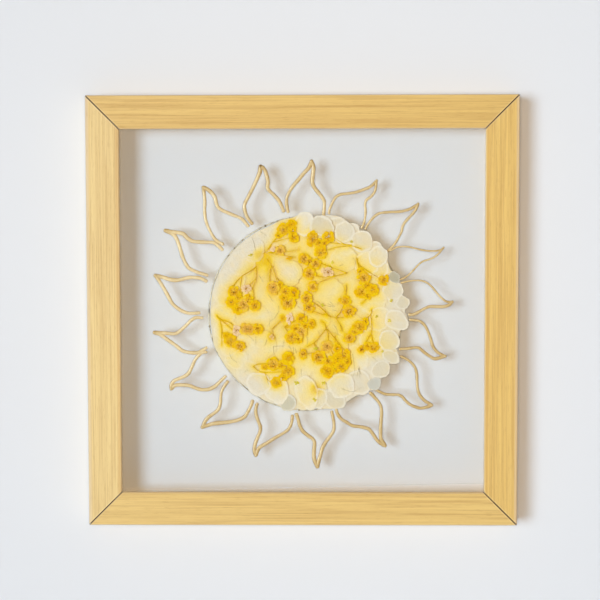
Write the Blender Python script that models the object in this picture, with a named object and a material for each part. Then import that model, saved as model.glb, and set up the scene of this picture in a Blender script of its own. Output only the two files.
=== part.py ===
"""Small square oak frame with two clear panes and a pressed flower sun held between them.

The front faces -Y, +Z is up and the origin is the middle of the frame's box.
"""

import math

import bmesh
import bpy
from mathutils import Matrix, Vector

# Frame and panes, in metres
FRAME_SIDE = 0.250
RAIL_FACE = 0.0194
RAIL_DEPTH = 0.018
LIP_DEPTH = 0.002
RABBET_WIDTH = 0.007
ARRIS = 0.0006
MITRE_GAP = 0.0003
PANE_THICK = 0.002
PANE_SLACK = 0.0006
FRONT_GAP = 0.0003
BACK_PANE_WIDTH = 0.2170
BACK_PANE_HEIGHT = 0.2126
BACK_PANE_RAISE = 0.0024
BACK_PANE_TURN = 1.4

# The pressed layers, from the front pane back
LAYER_GAP = 0.0002
SPRIG_THICK = 0.0009
PETAL_THICK = 0.0003
BED_THICK = 0.0003
LINE_HEIGHT = 0.0007
STEM_WIDTH = 0.0006
RING_WIDTH = 0.0009
TIP_BLOB = 0.0011

FRONT_Y = -RAIL_DEPTH / 2
FRONT_PANE_Y = FRONT_Y + LIP_DEPTH + FRONT_GAP
SPRIG_Y = FRONT_PANE_Y + PANE_THICK + LAYER_GAP
PETAL_Y = SPRIG_Y + SPRIG_THICK + LAYER_GAP
BED_Y = PETAL_Y + PETAL_THICK + 0.75 * LAYER_GAP
LINE_Y = BED_Y + BED_THICK + LAYER_GAP
BACK_PANE_Y = LINE_Y + LINE_HEIGHT + LAYER_GAP

# The viewpoint that the flat artwork was read from: place in frame sides from the middle
# of the frame's front, turns in degrees, and the view's scale in pixels
VIEW_PLACE = (0.0500, -3.600, 0.2556)
VIEW_YAW = -0.88
VIEW_PITCH = -3.624
VIEW_ROLL = -0.102
VIEW_SCALE = 1558.5
VIEW_MIDDLE = 299.5

# The ring round the petals, in pixels of that view
RING_MIDDLE = (305.0, 313.0)
RING_RADIUS = 96.5
RING_SIDES = 44

# Each ray is two raised lines that meet at its tip: the width of each line in
# millimetres, then its points from the root to the tip
RAYS = [
    (
        (1.6, [(288, 212), (286.5, 204), (287, 196), (291, 188), (299, 178), (308, 167.5), (311, 162)]),
        (1.8, [(323, 215), (324, 206), (323, 199.5), (316, 190), (312.5, 182), (313, 169), (311, 162)]),
    ),
    (
        (1.4, [(328.5, 214), (331, 204), (336, 196.5), (345, 193), (355, 192), (368, 187), (376, 180.5)]),
        (1.3, [(361, 228), (364, 220), (364.5, 206), (366, 199.5), (373, 192), (376, 180.5)]),
    ),
    (
        (1.3, [(364.5, 228.5), (370, 220), (377, 213.5), (388, 211.5), (403, 211), (417.5, 204)]),
        (1.2, [(390.5, 246.5), (395, 241), (399, 234), (402, 226), (409, 216.5), (417.5, 204)]),
    ),
    (
        (0.9, [(387.5, 250.5), (395, 247.5), (404, 246), (415, 248), (430, 250.5), (443, 247.5)]),
        (0.8, [(399, 279.5), (410, 273), (418, 264), (425, 260), (435, 256), (443, 247.5)]),
    ),
    (
        (1.0, [(400, 282.5), (408, 280.5), (419, 280), (429, 284), (439, 296), (451, 301.5)]),
        (1.5, [(408, 314), (414, 313.5), (421, 309), (430, 306), (441, 306), (451, 301.5)]),
    ),
    (
        (1.4, [(408.5, 319.5), (418, 320), (425, 326), (430, 338), (435, 349), (444, 355.5)]),
        (1.5, [(398.5, 348.5), (408, 348), (416, 347), (423, 352), (433.5, 358), (444, 355.5)]),
    ),
    (
        (1.4, [(399.5, 355.5), (409, 360.5), (415, 369), (416.5, 386), (421, 397), (430.5, 404.5)]),
        (1.5, [(375, 389), (386, 393.5), (398, 394.5), (409, 403.5), (420, 407.5), (430.5, 404.5)]),
    ),
    (
        (1.6, [(369, 391.5), (376, 399), (380.5, 407), (380.5, 420), (380.5, 436), (384, 444.5)]),
        (1.6, [(336, 408), (340, 417), (350, 424), (364, 427), (373, 435), (384, 444.5)]),
    ),
    (
        (1.6, [(331, 410.5), (333.5, 425), (330, 435), (323, 445), (320, 455), (316.8, 465.5)]),
        (1.7, [(296, 414), (299, 425), (305, 433), (312.5, 439.5), (313.5, 455), (316.8, 465.5)]),
    ),
    (
        (1.5, [(292, 414), (290.5, 424), (284, 431.5), (272, 439), (260, 446), (255.5, 454)]),
        (1.7, [(257, 402), (255.5, 413), (260, 425), (257, 437), (254, 447), (255.5, 454)]),
    ),
    (
        (1.6, [(228, 380.5), (222, 389), (220, 401), (215, 411), (206.5, 418), (203, 426)]),
        (1.7, [(252.5, 399.5), (247, 412), (240, 418.5), (228, 421.5), (214, 422.5), (203, 426)]),
    ),
    (
        (1.6, [(207, 351.5), (198, 355), (192, 366), (187, 373), (174, 380), (171, 387)]),
        (1.7, [(226, 375), (218, 382.5), (206, 389), (192, 386), (180, 384.5), (171, 387)]),
    ),
    (
        (1.6, [(203, 317.5), (196, 317), (189, 321.5), (181, 329), (170, 333), (154.5, 332)]),
        (1.6, [(207, 346.5), (198, 351.5), (187, 352), (176, 345), (166, 337.5), (154.5, 332)]),
    ),
    (
        (1.7, [(207, 281.5), (200, 278), (188, 277.5), (175, 279.5), (164, 277), (155, 275)]),
        (1.6, [(199, 312.5), (188, 312.5), (178, 308.5), (170, 299), (163, 287), (155, 275)]),
    ),
    (
        (1.7, [(223, 250), (214, 242.5), (200, 241.5), (190, 240), (180, 232.5), (165, 230)]),
        (1.6, [(208, 275), (196, 271.5), (187, 265.5), (182, 257), (177, 240), (165, 230)]),
    ),
    (
        (1.6, [(248.5, 226.5), (241, 218.5), (228, 212.5), (218, 207), (213, 194.5), (203, 187)]),
        (1.4, [(220, 243.5), (211, 233), (205.5, 221), (204.5, 205), (204, 195), (203, 187)]),
    ),
    (
        (1.7, [(252.5, 224), (246, 215), (244, 205), (250, 190.5), (258, 176), (260, 167)]),
        (1.7, [(283, 212), (280, 201), (269, 191.5), (267, 183), (265, 173), (260, 167)]),
    ),
]

# The scalloped rim of the petal bed, clockwise from its top
BED_RIM = [
    (300, 212.5), (306, 214), (311, 216.5), (321, 215), (334, 215), (340.5, 217), (345.5, 222),
    (352, 223), (358, 229), (363, 231.5), (369.5, 239), (376.5, 241.5), (379, 245), (384, 249.5),
    (387, 260), (389, 268), (391, 270.5), (395.5, 273), (398, 282), (402, 287), (401.5, 295.5),
    (406.5, 298), (408.5, 303.5), (404, 310.5), (407.5, 318), (405, 326), (399, 330.5),
    (397.5, 343), (395.5, 348), (398.5, 354), (396.5, 362), (390, 363), (385.5, 365),
    (387, 370), (384, 375.5), (380, 377), (380.5, 382.5), (375.5, 388), (367, 390.5),
    (354, 396), (345, 402), (336, 407.5), (322, 408), (311, 407.5), (303, 410), (295, 408),
    (291, 411), (282, 408.5), (276, 404.5), (263, 401), (252, 392.5), (239, 384), (229, 373),
    (220, 360), (213, 345), (210.5, 330), (209.5, 315), (210.5, 298), (214.5, 281), (221, 266.5),
    (231, 251.5), (243, 240), (256, 231), (270, 224.5), (282, 219), (293, 216.5),
]

# The petals that stand out from the bed: middle, half width and half height
PETALS = [
    (304, 224.5, 9.5, 10.5), (325, 226, 9.5, 10), (344, 231, 8.5, 9), (361.5, 243, 8.5, 9.5),
    (378, 257.5, 7.5, 9.5), (392.8, 277, 3.8, 6), (401.5, 303.5, 6.5, 6.5), (396, 320, 10, 9),
    (387.5, 339.5, 8.5, 8.5), (390.5, 356, 7, 6.5), (377.5, 369, 8, 7), (373, 383, 6, 5.5),
    (341, 384.5, 13, 13), (306, 392, 11, 15.5), (277, 390, 13, 12.5), (252.5, 382.5, 10, 9),
    (289, 272, 12.5, 12), (343, 259, 12.5, 12), (330, 291, 13.5, 12), (262, 346, 13.5, 12),
]

# The dyed sprigs: stems from the foot outwards, then blossoms as middle, half width
# and half height
SPRIGS = [
    (
        [[(267.5, 249), (272, 242), (282, 230)], [(272, 242), (280, 239.5), (293, 237)]],
        [(283, 229, 6.3, 6.3), (291, 224.5, 5.2, 5.2), (293, 237, 5.4, 5)],
    ),
    (
        [[(267, 252), (280, 251)], [(267, 252), (285, 251.5), (298, 249)], [(267, 252), (295, 257)]],
        [(280, 249.5, 4.8, 5.4), (288.5, 257.5, 3, 2.2)],
    ),
    (
        [
            [(361, 248.5), (350, 245), (338, 243), (314, 241)],
            [(344, 244), (330, 235)],
            [(352, 245.5), (337, 246.5), (322, 251)],
        ],
        [(312.5, 238, 6, 7.5), (327, 236, 5.6, 6), (320.5, 252, 6, 6)],
    ),
    (
        [
            [(346.5, 272.5), (335, 268.5), (322, 263.5), (304, 258.5)],
            [(346.5, 272.5), (334, 275.5), (322, 276.5), (310, 273.5)],
            [(340, 274), (325, 279), (313, 286)],
            [(335, 275.5), (327, 272)],
        ],
        [
            (303.5, 258.5, 5.6, 5.4), (315, 263.5, 5.4, 5), (309, 273, 5.6, 6), (312.5, 286.5, 5, 5),
            (327, 271.5, 6.5, 4.2),
        ],
    ),
    (
        [
            [(256, 266), (249, 271), (241, 276), (234, 284), (232, 292)],
            [(233.5, 291), (231.5, 302)],
            [(241, 276), (240, 287), (243, 304)],
            [(255.5, 265.5), (255.5, 278), (252.5, 288), (254, 304)],
            [(255.5, 278), (246, 287)],
        ],
        [
            (233.5, 291.5, 6.2, 6), (231.5, 302, 5.2, 5), (245.5, 288, 4.4, 4.4), (243.5, 304, 6, 7),
            (254.5, 305, 5, 5.4),
        ],
    ),
    (
        [
            [(270.5, 264.5), (269, 276), (270, 286)],
            [(271, 265), (275.5, 277), (277, 287)],
            [(275.5, 277), (284, 286), (290, 294), (287.5, 303)],
        ],
        [(272.5, 287.5, 5.6, 7), (285, 291, 5.6, 6), (293, 291.5, 5.4, 5.6), (287.5, 303, 6.4, 6)],
    ),
    (
        [[(328, 315.5), (321.5, 308.5), (306, 297)], [(327, 315), (317.5, 312.5), (309, 309)]],
        [(306, 298, 5.4, 5.8), (308.5, 307, 5.2, 5.6)],
    ),
    (
        [
            [(335, 317), (340, 311), (344.5, 301)],
            [(334, 317), (342, 317), (349, 311)],
            [(345.5, 285), (345, 298)],
            [(335, 317), (339.5, 324.5), (341.5, 330.5)],
        ],
        [(344.5, 300.5, 5.6, 5.2), (348.5, 310.5, 6.2, 6)],
    ),
    (
        [
            [(356, 257), (358, 264), (370, 272.5), (381, 279)],
            [(357.5, 262), (359, 270), (363, 277)],
            [(372, 289), (363, 277), (361, 290)],
            [(361, 290), (366, 297), (361, 303)],
        ],
        [
            (363.5, 277.5, 6.6, 6.2), (382.5, 279.5, 5.2, 5.4), (361, 291, 6.2, 6),
            (372.5, 289.5, 6.2, 7),
        ],
    ),
    (
        [
            [(216, 315), (219, 318.5), (230, 322.5), (235, 329)],
            [(218.5, 317.5), (226, 324), (234, 331)],
            [(218.5, 317.5), (221, 328), (221, 345)],
            [(221, 331), (229, 340), (239, 345)],
            [(235.5, 330), (250, 328.5)],
        ],
        [
            (250.5, 328.5, 12, 4.8), (235.8, 330, 3.2, 5.8), (230, 340.5, 6.4, 6.2),
            (239, 345.5, 5.4, 4.8),
        ],
    ),
    (
        [
            [(284, 326.5), (290, 322.5), (299, 318)],
            [(284, 326.5), (293, 326.5), (310, 323.5)],
            [(283.5, 326), (291, 336)],
            [(292, 326), (300, 330)],
        ],
        [
            (300.5, 318, 5.2, 5), (311, 323.5, 3.6, 4.2), (300.5, 330.5, 5.8, 5.4),
            (291.5, 337, 6.6, 6.2), (289, 318, 3, 5),
        ],
    ),
    (
        [[(271.5, 328.5), (276, 324), (282.5, 317)], [(271.5, 328.5), (271.5, 337)]],
        [(282, 318, 2, 3.2), (271.2, 336.5, 2.8, 3.2)],
    ),
    (
        [
            [(252.5, 366), (258, 363.5), (272, 363)],
            [(252.5, 366), (262, 371.5), (287, 371)],
            [(272, 363), (287, 358)],
            [(264, 372), (268, 380), (275, 382)],
        ],
        [
            (273, 363.5, 7, 6), (287.5, 357.5, 6, 6.6), (287, 371, 6.2, 6.2),
            (275.5, 382, 5, 5.4),
        ],
    ),
    (
        [
            [(324, 323), (325.5, 328), (327.5, 335), (326.5, 347)],
            [(325.5, 328), (319.5, 335.5), (313.5, 342), (306, 346.5)],
            [(325.5, 328), (334.5, 338), (347, 354)],
            [(326.5, 342), (331, 351), (337, 364), (327, 370)],
            [(313.5, 342), (317, 356)],
            [(302, 353.5), (317, 352)],
        ],
        [
            (326, 346.5, 5.4, 6), (318, 356.5, 6.2, 7), (302.5, 353.5, 3.6, 4.6),
            (327, 370.5, 6.6, 6.2), (342.5, 355, 6.6, 6.8), (341, 366, 5.6, 5),
        ],
    ),
    (
        [
            [(371, 309), (370, 313.5), (359, 326), (349, 337)],
            [(370, 313.5), (371, 325), (370, 333), (361.5, 348)],
            [(370, 332), (373.5, 346)],
        ],
        [(359, 326.5, 6.6, 6.2), (349, 337.5, 6.2, 5.2), (372.5, 347, 6.2, 5), (361, 349, 3.6, 3.6)],
    ),
]

OAK = (0.735, 0.500, 0.165)
PALE_OAK = (0.760, 0.530, 0.190)
CLEAR = (0.930, 0.960, 0.940)
GOLD = (0.640, 0.440, 0.185)
PEWTER = (0.330, 0.310, 0.260)
CREAM = (0.790, 0.690, 0.440)
PALE_PETAL = (0.830, 0.730, 0.480)
YOLK = (0.800, 0.470, 0.010)


def clear_scene():
    for obj in list(bpy.data.objects):
        bpy.data.objects.remove(obj, do_unlink=True)


def plain_material(name, colour, roughness, metallic=0.0):
    material = bpy.data.materials.new(name)
    material.use_nodes = True
    shader = material.node_tree.nodes["Principled BSDF"]
    shader.inputs["Base Color"].default_value = (*colour, 1.0)
    shader.inputs["Roughness"].default_value = roughness
    shader.inputs["Metallic"].default_value = metallic
    return material


def spot(pixel, y):
    """The point at depth y that stands at a pixel of the view."""
    eye = Vector(VIEW_PLACE) * FRAME_SIDE + Vector((0, FRONT_Y, 0))
    turn = (
        Matrix.Rotation(math.radians(-VIEW_YAW), 3, "Z")
        @ Matrix.Rotation(math.radians(VIEW_PITCH), 3, "X")
        @ Matrix.Rotation(math.radians(-VIEW_ROLL), 3, "Y")
    )
    across = (pixel[0] - VIEW_MIDDLE) / VIEW_SCALE
    up = (VIEW_MIDDLE - pixel[1]) / VIEW_SCALE
    ray = turn @ Vector((across, 1, up))
    return eye + ray * ((y - eye.y) / ray.y)


def finish(name, mesh, material=None):
    """Turns a bmesh into an object with its faces outwards."""
    bmesh.ops.recalc_face_normals(mesh, faces=mesh.faces)
    data = bpy.data.meshes.new(name)
    mesh.to_mesh(data)
    mesh.free()
    obj = bpy.data.objects.new(name, data)
    if material is not None:
        data.materials.append(material)
    bpy.context.scene.collection.objects.link(obj)
    return obj


def skin(mesh, loops, closed=False):
    """Joins rings of the same number of points, with caps on the ends unless it closes."""
    rings = [[mesh.verts.new(point) for point in loop] for loop in loops]
    pairs = list(zip(rings, rings[1:]))
    if closed:
        pairs.append((rings[-1], rings[0]))
    for first, second in pairs:
        for i in range(len(first)):
            j = (i + 1) % len(first)
            mesh.faces.new((first[i], first[j], second[j], second[i]))
    if not closed:
        mesh.faces.new(rings[0])
        mesh.faces.new(rings[-1])


def rail(name, degrees, material):
    """One mitred rail, built as the top one and turned into its place."""
    half = FRAME_SIDE / 2
    back = -FRONT_Y
    profile = [
        (ARRIS, FRONT_Y),
        (RAIL_FACE - ARRIS, FRONT_Y),
        (RAIL_FACE, FRONT_Y + ARRIS),
        (RAIL_FACE, FRONT_Y + LIP_DEPTH),
        (RAIL_FACE - RABBET_WIDTH, FRONT_Y + LIP_DEPTH),
        (RAIL_FACE - RABBET_WIDTH, back - ARRIS),
        (RAIL_FACE - RABBET_WIDTH - ARRIS, back),
        (ARRIS, back),
        (0.0, back - ARRIS),
        (0.0, FRONT_Y + ARRIS),
    ]
    trim = MITRE_GAP / math.sqrt(2)
    ends = []
    for side in (-1, 1):
        ends.append([(side * (half - inward - trim), y, half - inward) for inward, y in profile])
    mesh = bmesh.new()
    skin(mesh, ends)
    obj = finish(name, mesh, material)
    obj.data.transform(Matrix.Rotation(math.radians(degrees), 4, "Y"))
    return obj


def pane(name, width, height, y, material, raised=0.0, degrees=0.0):
    mesh = bmesh.new()
    bmesh.ops.create_cube(mesh, size=1.0)
    bmesh.ops.scale(mesh, vec=(width, PANE_THICK, height), verts=mesh.verts)
    bmesh.ops.rotate(
        mesh, cent=(0, 0, 0), matrix=Matrix.Rotation(math.radians(-degrees), 3, "Y"), verts=mesh.verts
    )
    bmesh.ops.translate(mesh, vec=(0, y + PANE_THICK / 2, raised), verts=mesh.verts)
    return finish(name, mesh, material)


def side_steps(path, closed=False):
    """For each point of a flat path, the sideways step of length 1 that keeps a mitred width."""
    steps = []
    last = len(path) - 1
    for i, point in enumerate(path):
        before = path[i - 1] if i or closed else None
        after = path[(i + 1) % len(path)] if i < last or closed else None
        into = (point - before).normalized() if before is not None else None
        out = (after - point).normalized() if after is not None else None
        into = into or out
        out = out or into
        along = (into + out).normalized()
        across = Vector((along.z, 0, -along.x))
        steps.append(across / max(0.5, along.dot(out)))
    return steps


def raised_line(mesh, path, width, front, back, closed=False):
    """A low line with sloping sides that lies on the plane at depth back."""
    section = [(-0.5, back), (-0.26, front), (0.26, front), (0.5, back)]
    loops = []
    for point, step in zip(path, side_steps(path, closed)):
        loop = []
        for share, y in section:
            edge = point + step * (share * width)
            loop.append((edge.x, y, edge.z))
        loops.append(loop)
    skin(mesh, loops, closed)


def rosette(mesh, middle, wide, high, front, back, lobes=0, sides=9, taper=0.6):
    """A flat round or lobed pad that narrows towards the front."""
    count = 2 * lobes if lobes else sides
    loops = []
    for y, size in ((back, 1.0), (front, taper)):
        loop = []
        for i in range(count):
            angle = 2 * math.pi * i / count
            reach = size * (0.74 if lobes and i % 2 else 1.0)
            loop.append(
                (middle.x + reach * wide * math.cos(angle), y, middle.z + reach * high * math.sin(angle))
            )
        loops.append(loop)
    skin(mesh, loops)


def fused(name, shapes, material):
    """One solid from overlapping shapes, each given as a bmesh."""
    body = finish(name, shapes[0], material)
    for number, shape in enumerate(shapes[1:], 1):
        tool = finish(f"{name}_shape_{number}", shape)
        tool.hide_render = True
        tool.display_type = "WIRE"
        union = body.modifiers.new(f"join {number}", "BOOLEAN")
        union.operation = "UNION"
        union.solver = "EXACT"
        union.object = tool
    return body


def pixel_size(middle, y):
    """The size of one pixel of the view at a point of the plane at depth y."""
    return (spot((middle[0] + 10, middle[1]), y) - spot(middle, y)).length / 10


def ray(number, legs, material):
    shapes = []
    for order, (width, points) in enumerate(legs):
        mesh = bmesh.new()
        path = [spot(point, LINE_Y) for point in points]
        back = LINE_Y + LINE_HEIGHT - 0.00003 * order
        raised_line(mesh, path, width / 1000, LINE_Y + 0.00008 * (2 - order), back)
        shapes.append(mesh)
    blob = bmesh.new()
    tip = spot(legs[0][1][-1], LINE_Y)
    rosette(blob, tip, TIP_BLOB, TIP_BLOB, LINE_Y, LINE_Y + LINE_HEIGHT - 0.00006, sides=7)
    shapes.append(blob)
    return fused(f"ray_{number:02d}", shapes, material)


def ring_line(material):
    middle = spot(RING_MIDDLE, LINE_Y)
    radius = RING_RADIUS * pixel_size(RING_MIDDLE, LINE_Y)
    path = []
    for i in range(RING_SIDES):
        angle = 2 * math.pi * i / RING_SIDES
        path.append(middle + Vector((math.cos(angle), 0, math.sin(angle))) * radius)
    mesh = bmesh.new()
    raised_line(mesh, path, RING_WIDTH, LINE_Y + 0.0002, LINE_Y + LINE_HEIGHT, closed=True)
    return finish("ring_line", mesh, material)


def petal_bed(material):
    rim = [spot(point, BED_Y) for point in BED_RIM]
    mesh = bmesh.new()
    skin(mesh, [[(p.x, y, p.z) for p in rim] for y in (BED_Y, BED_Y + BED_THICK)])
    return finish("petal_bed", mesh, material)


def petal(number, x, y, wide, high, material):
    size = pixel_size((x, y), PETAL_Y)
    mesh = bmesh.new()
    middle = spot((x, y), PETAL_Y)
    rosette(
        mesh, middle, wide * size, high * size, PETAL_Y, PETAL_Y + PETAL_THICK, sides=12, taper=0.9
    )
    return finish(f"petal_{number:02d}", mesh, material)


def sprig(number, stems, blossoms, material):
    shapes = []
    middle = SPRIG_Y + SPRIG_THICK / 2
    for order, (x, y, wide, high) in enumerate(blossoms):
        size = pixel_size((x, y), SPRIG_Y)
        sink = 0.00002 * order
        mesh = bmesh.new()
        rosette(
            mesh,
            spot((x, y), SPRIG_Y),
            wide * size,
            high * size,
            SPRIG_Y + sink,
            SPRIG_Y + SPRIG_THICK - sink,
            lobes=5,
        )
        shapes.append(mesh)
    for order, points in enumerate(stems):
        mesh = bmesh.new()
        path = [spot(point, SPRIG_Y) for point in points]
        lift = 0.00002 * order
        raised_line(mesh, path, STEM_WIDTH, middle - 0.0002 - lift, middle + 0.0003 - lift)
        shapes.append(mesh)
    return fused(f"sprig_{number:02d}", shapes, material)


def main():
    clear_scene()
    for name, degrees in (("top", 0), ("right", 90), ("bottom", 180), ("left", 270)):
        colour = OAK if name in ("top", "bottom") else PALE_OAK
        rail(f"rail_{name}", degrees, plain_material(f"oak {name}", colour, 0.5))

    sight = FRAME_SIDE - 2 * RAIL_FACE
    front_side = sight + 2 * (RABBET_WIDTH - PANE_SLACK)
    pane("pane_front", front_side, front_side, FRONT_PANE_Y, plain_material("front pane", CLEAR, 0.05))
    pane(
        "pane_back",
        BACK_PANE_WIDTH,
        BACK_PANE_HEIGHT,
        BACK_PANE_Y,
        plain_material("back pane", CLEAR, 0.05),
        raised=BACK_PANE_RAISE,
        degrees=BACK_PANE_TURN,
    )

    ring_line(plain_material("pewter line", PEWTER, 0.4, 0.6))
    for number, legs in enumerate(RAYS, 1):
        ray(number, legs, plain_material(f"gold line {number}", GOLD, 0.35, 0.4))

    petal_bed(plain_material("petal bed", CREAM, 0.7))
    for number, (x, y, wide, high) in enumerate(PETALS, 1):
        petal(number, x, y, wide, high, plain_material(f"petal {number}", PALE_PETAL, 0.7))
    for number, (stems, blossoms) in enumerate(SPRIGS, 1):
        sprig(number, stems, blossoms, plain_material(f"dyed sprig {number}", YOLK, 0.7))


main()
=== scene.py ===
"""Looks of the pressed flower frame: oiled oak, two clear panes, raised paint lines, petals and sprigs."""

import math
import random

import bmesh
import bpy
import numpy as np
from mathutils import Matrix, Vector, noise


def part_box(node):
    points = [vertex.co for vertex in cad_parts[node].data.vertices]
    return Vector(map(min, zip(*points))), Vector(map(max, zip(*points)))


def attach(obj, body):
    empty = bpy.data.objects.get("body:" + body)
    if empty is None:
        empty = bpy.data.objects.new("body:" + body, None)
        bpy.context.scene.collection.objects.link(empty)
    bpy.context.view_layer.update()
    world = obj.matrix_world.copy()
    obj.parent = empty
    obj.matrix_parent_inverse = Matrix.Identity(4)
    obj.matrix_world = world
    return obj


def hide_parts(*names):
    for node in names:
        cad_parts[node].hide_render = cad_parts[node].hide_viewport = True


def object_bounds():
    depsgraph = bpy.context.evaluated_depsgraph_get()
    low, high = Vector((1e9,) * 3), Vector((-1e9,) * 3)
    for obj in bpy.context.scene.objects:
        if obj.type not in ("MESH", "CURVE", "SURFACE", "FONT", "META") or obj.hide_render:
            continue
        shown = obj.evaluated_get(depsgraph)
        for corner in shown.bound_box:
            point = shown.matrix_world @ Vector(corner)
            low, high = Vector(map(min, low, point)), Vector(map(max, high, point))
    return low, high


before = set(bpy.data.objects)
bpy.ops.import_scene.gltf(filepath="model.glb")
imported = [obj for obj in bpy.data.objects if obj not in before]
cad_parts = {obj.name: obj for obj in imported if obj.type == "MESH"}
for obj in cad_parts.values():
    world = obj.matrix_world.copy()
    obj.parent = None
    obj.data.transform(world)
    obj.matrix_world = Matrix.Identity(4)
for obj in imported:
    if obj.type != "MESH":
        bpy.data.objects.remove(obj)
CAD_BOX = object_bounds()
BODY = "root"
SCENE = bpy.context.scene

# Planes and widths read from the frame, in metres
FRAME_SIDE = CAD_BOX[1].x - CAD_BOX[0].x
OPENING = -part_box("rail_left")[1].x
FRONT_Y = CAD_BOX[0].y
BACK_Y = CAD_BOX[1].y
SPRIG_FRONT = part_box("sprig_01")[0].y
SPRIG_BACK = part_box("sprig_01")[1].y
PETAL_FRONT = SPRIG_BACK + 0.00008
PETAL_NEAR = SPRIG_BACK + 0.00032
LINE_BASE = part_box("pane_back")[0].y - 0.00002

# The photograph's viewpoint: place in frame sides from the middle of the frame's front,
# turns in degrees, and the view's scale in pixels of its 600
VIEW_PLACE = (0.0500, -3.600, 0.2556)
VIEW_YAW = -0.88
VIEW_PITCH = -3.624
VIEW_ROLL = -0.102
VIEW_SCALE = 1558.5
VIEW_MIDDLE = 299.5
VIEW_PIXELS = 600

EYE = Vector(VIEW_PLACE) * FRAME_SIDE + Vector((0, FRONT_Y, 0))
TURN = (
    Matrix.Rotation(math.radians(-VIEW_YAW), 3, "Z")
    @ Matrix.Rotation(math.radians(VIEW_PITCH), 3, "X")
    @ Matrix.Rotation(math.radians(-VIEW_ROLL), 3, "Y")
)

# The middle and radius of the flower disc in the view, in pixels
DISC = (305.0, 313.0)
DISC_RADIUS = 96.5


def spot(x, y, depth):
    """The point at that depth that stands at a pixel of the photograph's view."""
    ray = TURN @ Vector(((x - VIEW_MIDDLE) / VIEW_SCALE, 1, (VIEW_MIDDLE - y) / VIEW_SCALE))
    return EYE + ray * ((depth - EYE.y) / ray.y)


PIXEL = (spot(DISC[0] + 10, DISC[1], PETAL_FRONT) - spot(*DISC, PETAL_FRONT)).length / 10

# Colours as they are seen, from 0 to 255, become paint by the light that falls there
LIGHT_OUTSIDE = 1.16
LIGHT_INSIDE = 1.00


def linear(level):
    """The light of a level from 0 to 255, as a share of white."""
    share = level / 255
    return share / 12.92 if share <= 0.04045 else ((share + 0.055) / 1.055) ** 2.4


def seen(red, green, blue, light=LIGHT_INSIDE):
    """The paint that shows as this colour under that light."""
    return tuple(min(0.95, linear(level) / light) for level in (red, green, blue)) + (1.0,)


# Small helpers for nodes


def node(tree, kind, inputs=None, **settings):
    """A new node. Its inputs are values, or sockets to link from."""
    made = tree.nodes.new(kind)
    # The settings come first, because a group node has no sockets until its tree is set
    for key, value in settings.items():
        setattr(made, key, value)
    for key, value in (inputs or {}).items():
        if isinstance(value, bpy.types.NodeSocket):
            tree.links.new(value, made.inputs[key])
        else:
            made.inputs[key].default_value = value
    return made


def first(tree, kind, inputs=None, **settings):
    """The first output of a new node."""
    return node(tree, kind, inputs, **settings).outputs[0]


def wire(tree, inputs, values):
    """Links each value to the input of that name."""
    for name, value in values.items():
        tree.links.new(value, inputs[name])


def math_node(tree, operation, *values):
    """The result of an operation on numbers."""
    return first(tree, "ShaderNodeMath", dict(enumerate(values)), operation=operation)


def times(tree, value, factor):
    return math_node(tree, "MULTIPLY", value, factor)


def times_plus(tree, value, factor, added):
    """The value times a factor, and something added."""
    return math_node(tree, "MULTIPLY_ADD", value, factor, added)


def vector_math(tree, operation, *values):
    return first(tree, "ShaderNodeVectorMath", dict(enumerate(values)), operation=operation)


def axes(tree, vector):
    """The X, Y and Z of a vector."""
    return node(tree, "ShaderNodeSeparateXYZ", {0: vector}).outputs


def mix(tree, share, below, above):
    """One colour over another, by a share from 0 to 1."""
    inputs = {0: share, 6: below, 7: above}
    return node(tree, "ShaderNodeMix", inputs, data_type="RGBA").outputs[2]


def laid(tree, below, mask, strength, colour):
    """A colour laid over another where the mask is, at that strength."""
    return mix(tree, times(tree, mask, strength), below, colour)


def smooth_step(tree, value, low, high):
    """A share from 0 to 1 as the value goes from low to high."""
    inputs = {0: value, 1: low, 2: high, 3: 0.0, 4: 1.0}
    return first(tree, "ShaderNodeMapRange", inputs, interpolation_type="SMOOTHSTEP")


def waves(tree, vector, scale, detail=2.0, roughness=0.5, seed=None):
    """A noise texture's outputs. A seed gives each piece a pattern of its own."""
    inputs = {"Vector": vector, "Scale": scale, "Detail": detail, "Roughness": roughness}
    if seed is None:
        return node(tree, "ShaderNodeTexNoise", inputs).outputs
    return node(tree, "ShaderNodeTexNoise", inputs | {"W": seed}, noise_dimensions="4D").outputs


def ramp(tree, value, stops):
    """The colour at a value between stops of place and colour."""
    made = node(tree, "ShaderNodeValToRGB", {0: value})
    elements = made.color_ramp.elements
    while len(elements) < len(stops):
        elements.new(0.5)
    for element, (place, colour) in zip(elements, stops):
        element.position = place
        element.color = colour
    return made.outputs[0]


def attribute(tree, name, output="Fac"):
    return node(tree, "ShaderNodeAttribute", attribute_name=name).outputs[output]


def object_place(tree):
    """The place on a piece, in metres."""
    return node(tree, "ShaderNodeTexCoord").outputs["Object"]


def group_tree(name, kind, inputs, outputs):
    """An empty node group with named inputs and outputs, and the sockets of its two ends."""
    tree = bpy.data.node_groups.new(name, kind)
    for label, socket_kind, *value in inputs:
        socket = tree.interface.new_socket(label, in_out="INPUT", socket_type=f"NodeSocket{socket_kind}")
        if value:
            socket.default_value = value[0]
    for label, socket_kind in outputs:
        tree.interface.new_socket(label, in_out="OUTPUT", socket_type=f"NodeSocket{socket_kind}")
    return tree, tree.nodes.new("NodeGroupInput").outputs, tree.nodes.new("NodeGroupOutput").inputs


# Shader groups that several materials use

# What a group that finishes a surface puts out, and what each petal keeps at its vertices
COATING = [("Color", "Color"), ("Height", "Float"), ("Roughness", "Float")]
LEAF_MARKS = ("Seed", "Dye", "Grey", "Rim", "Edge")


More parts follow.
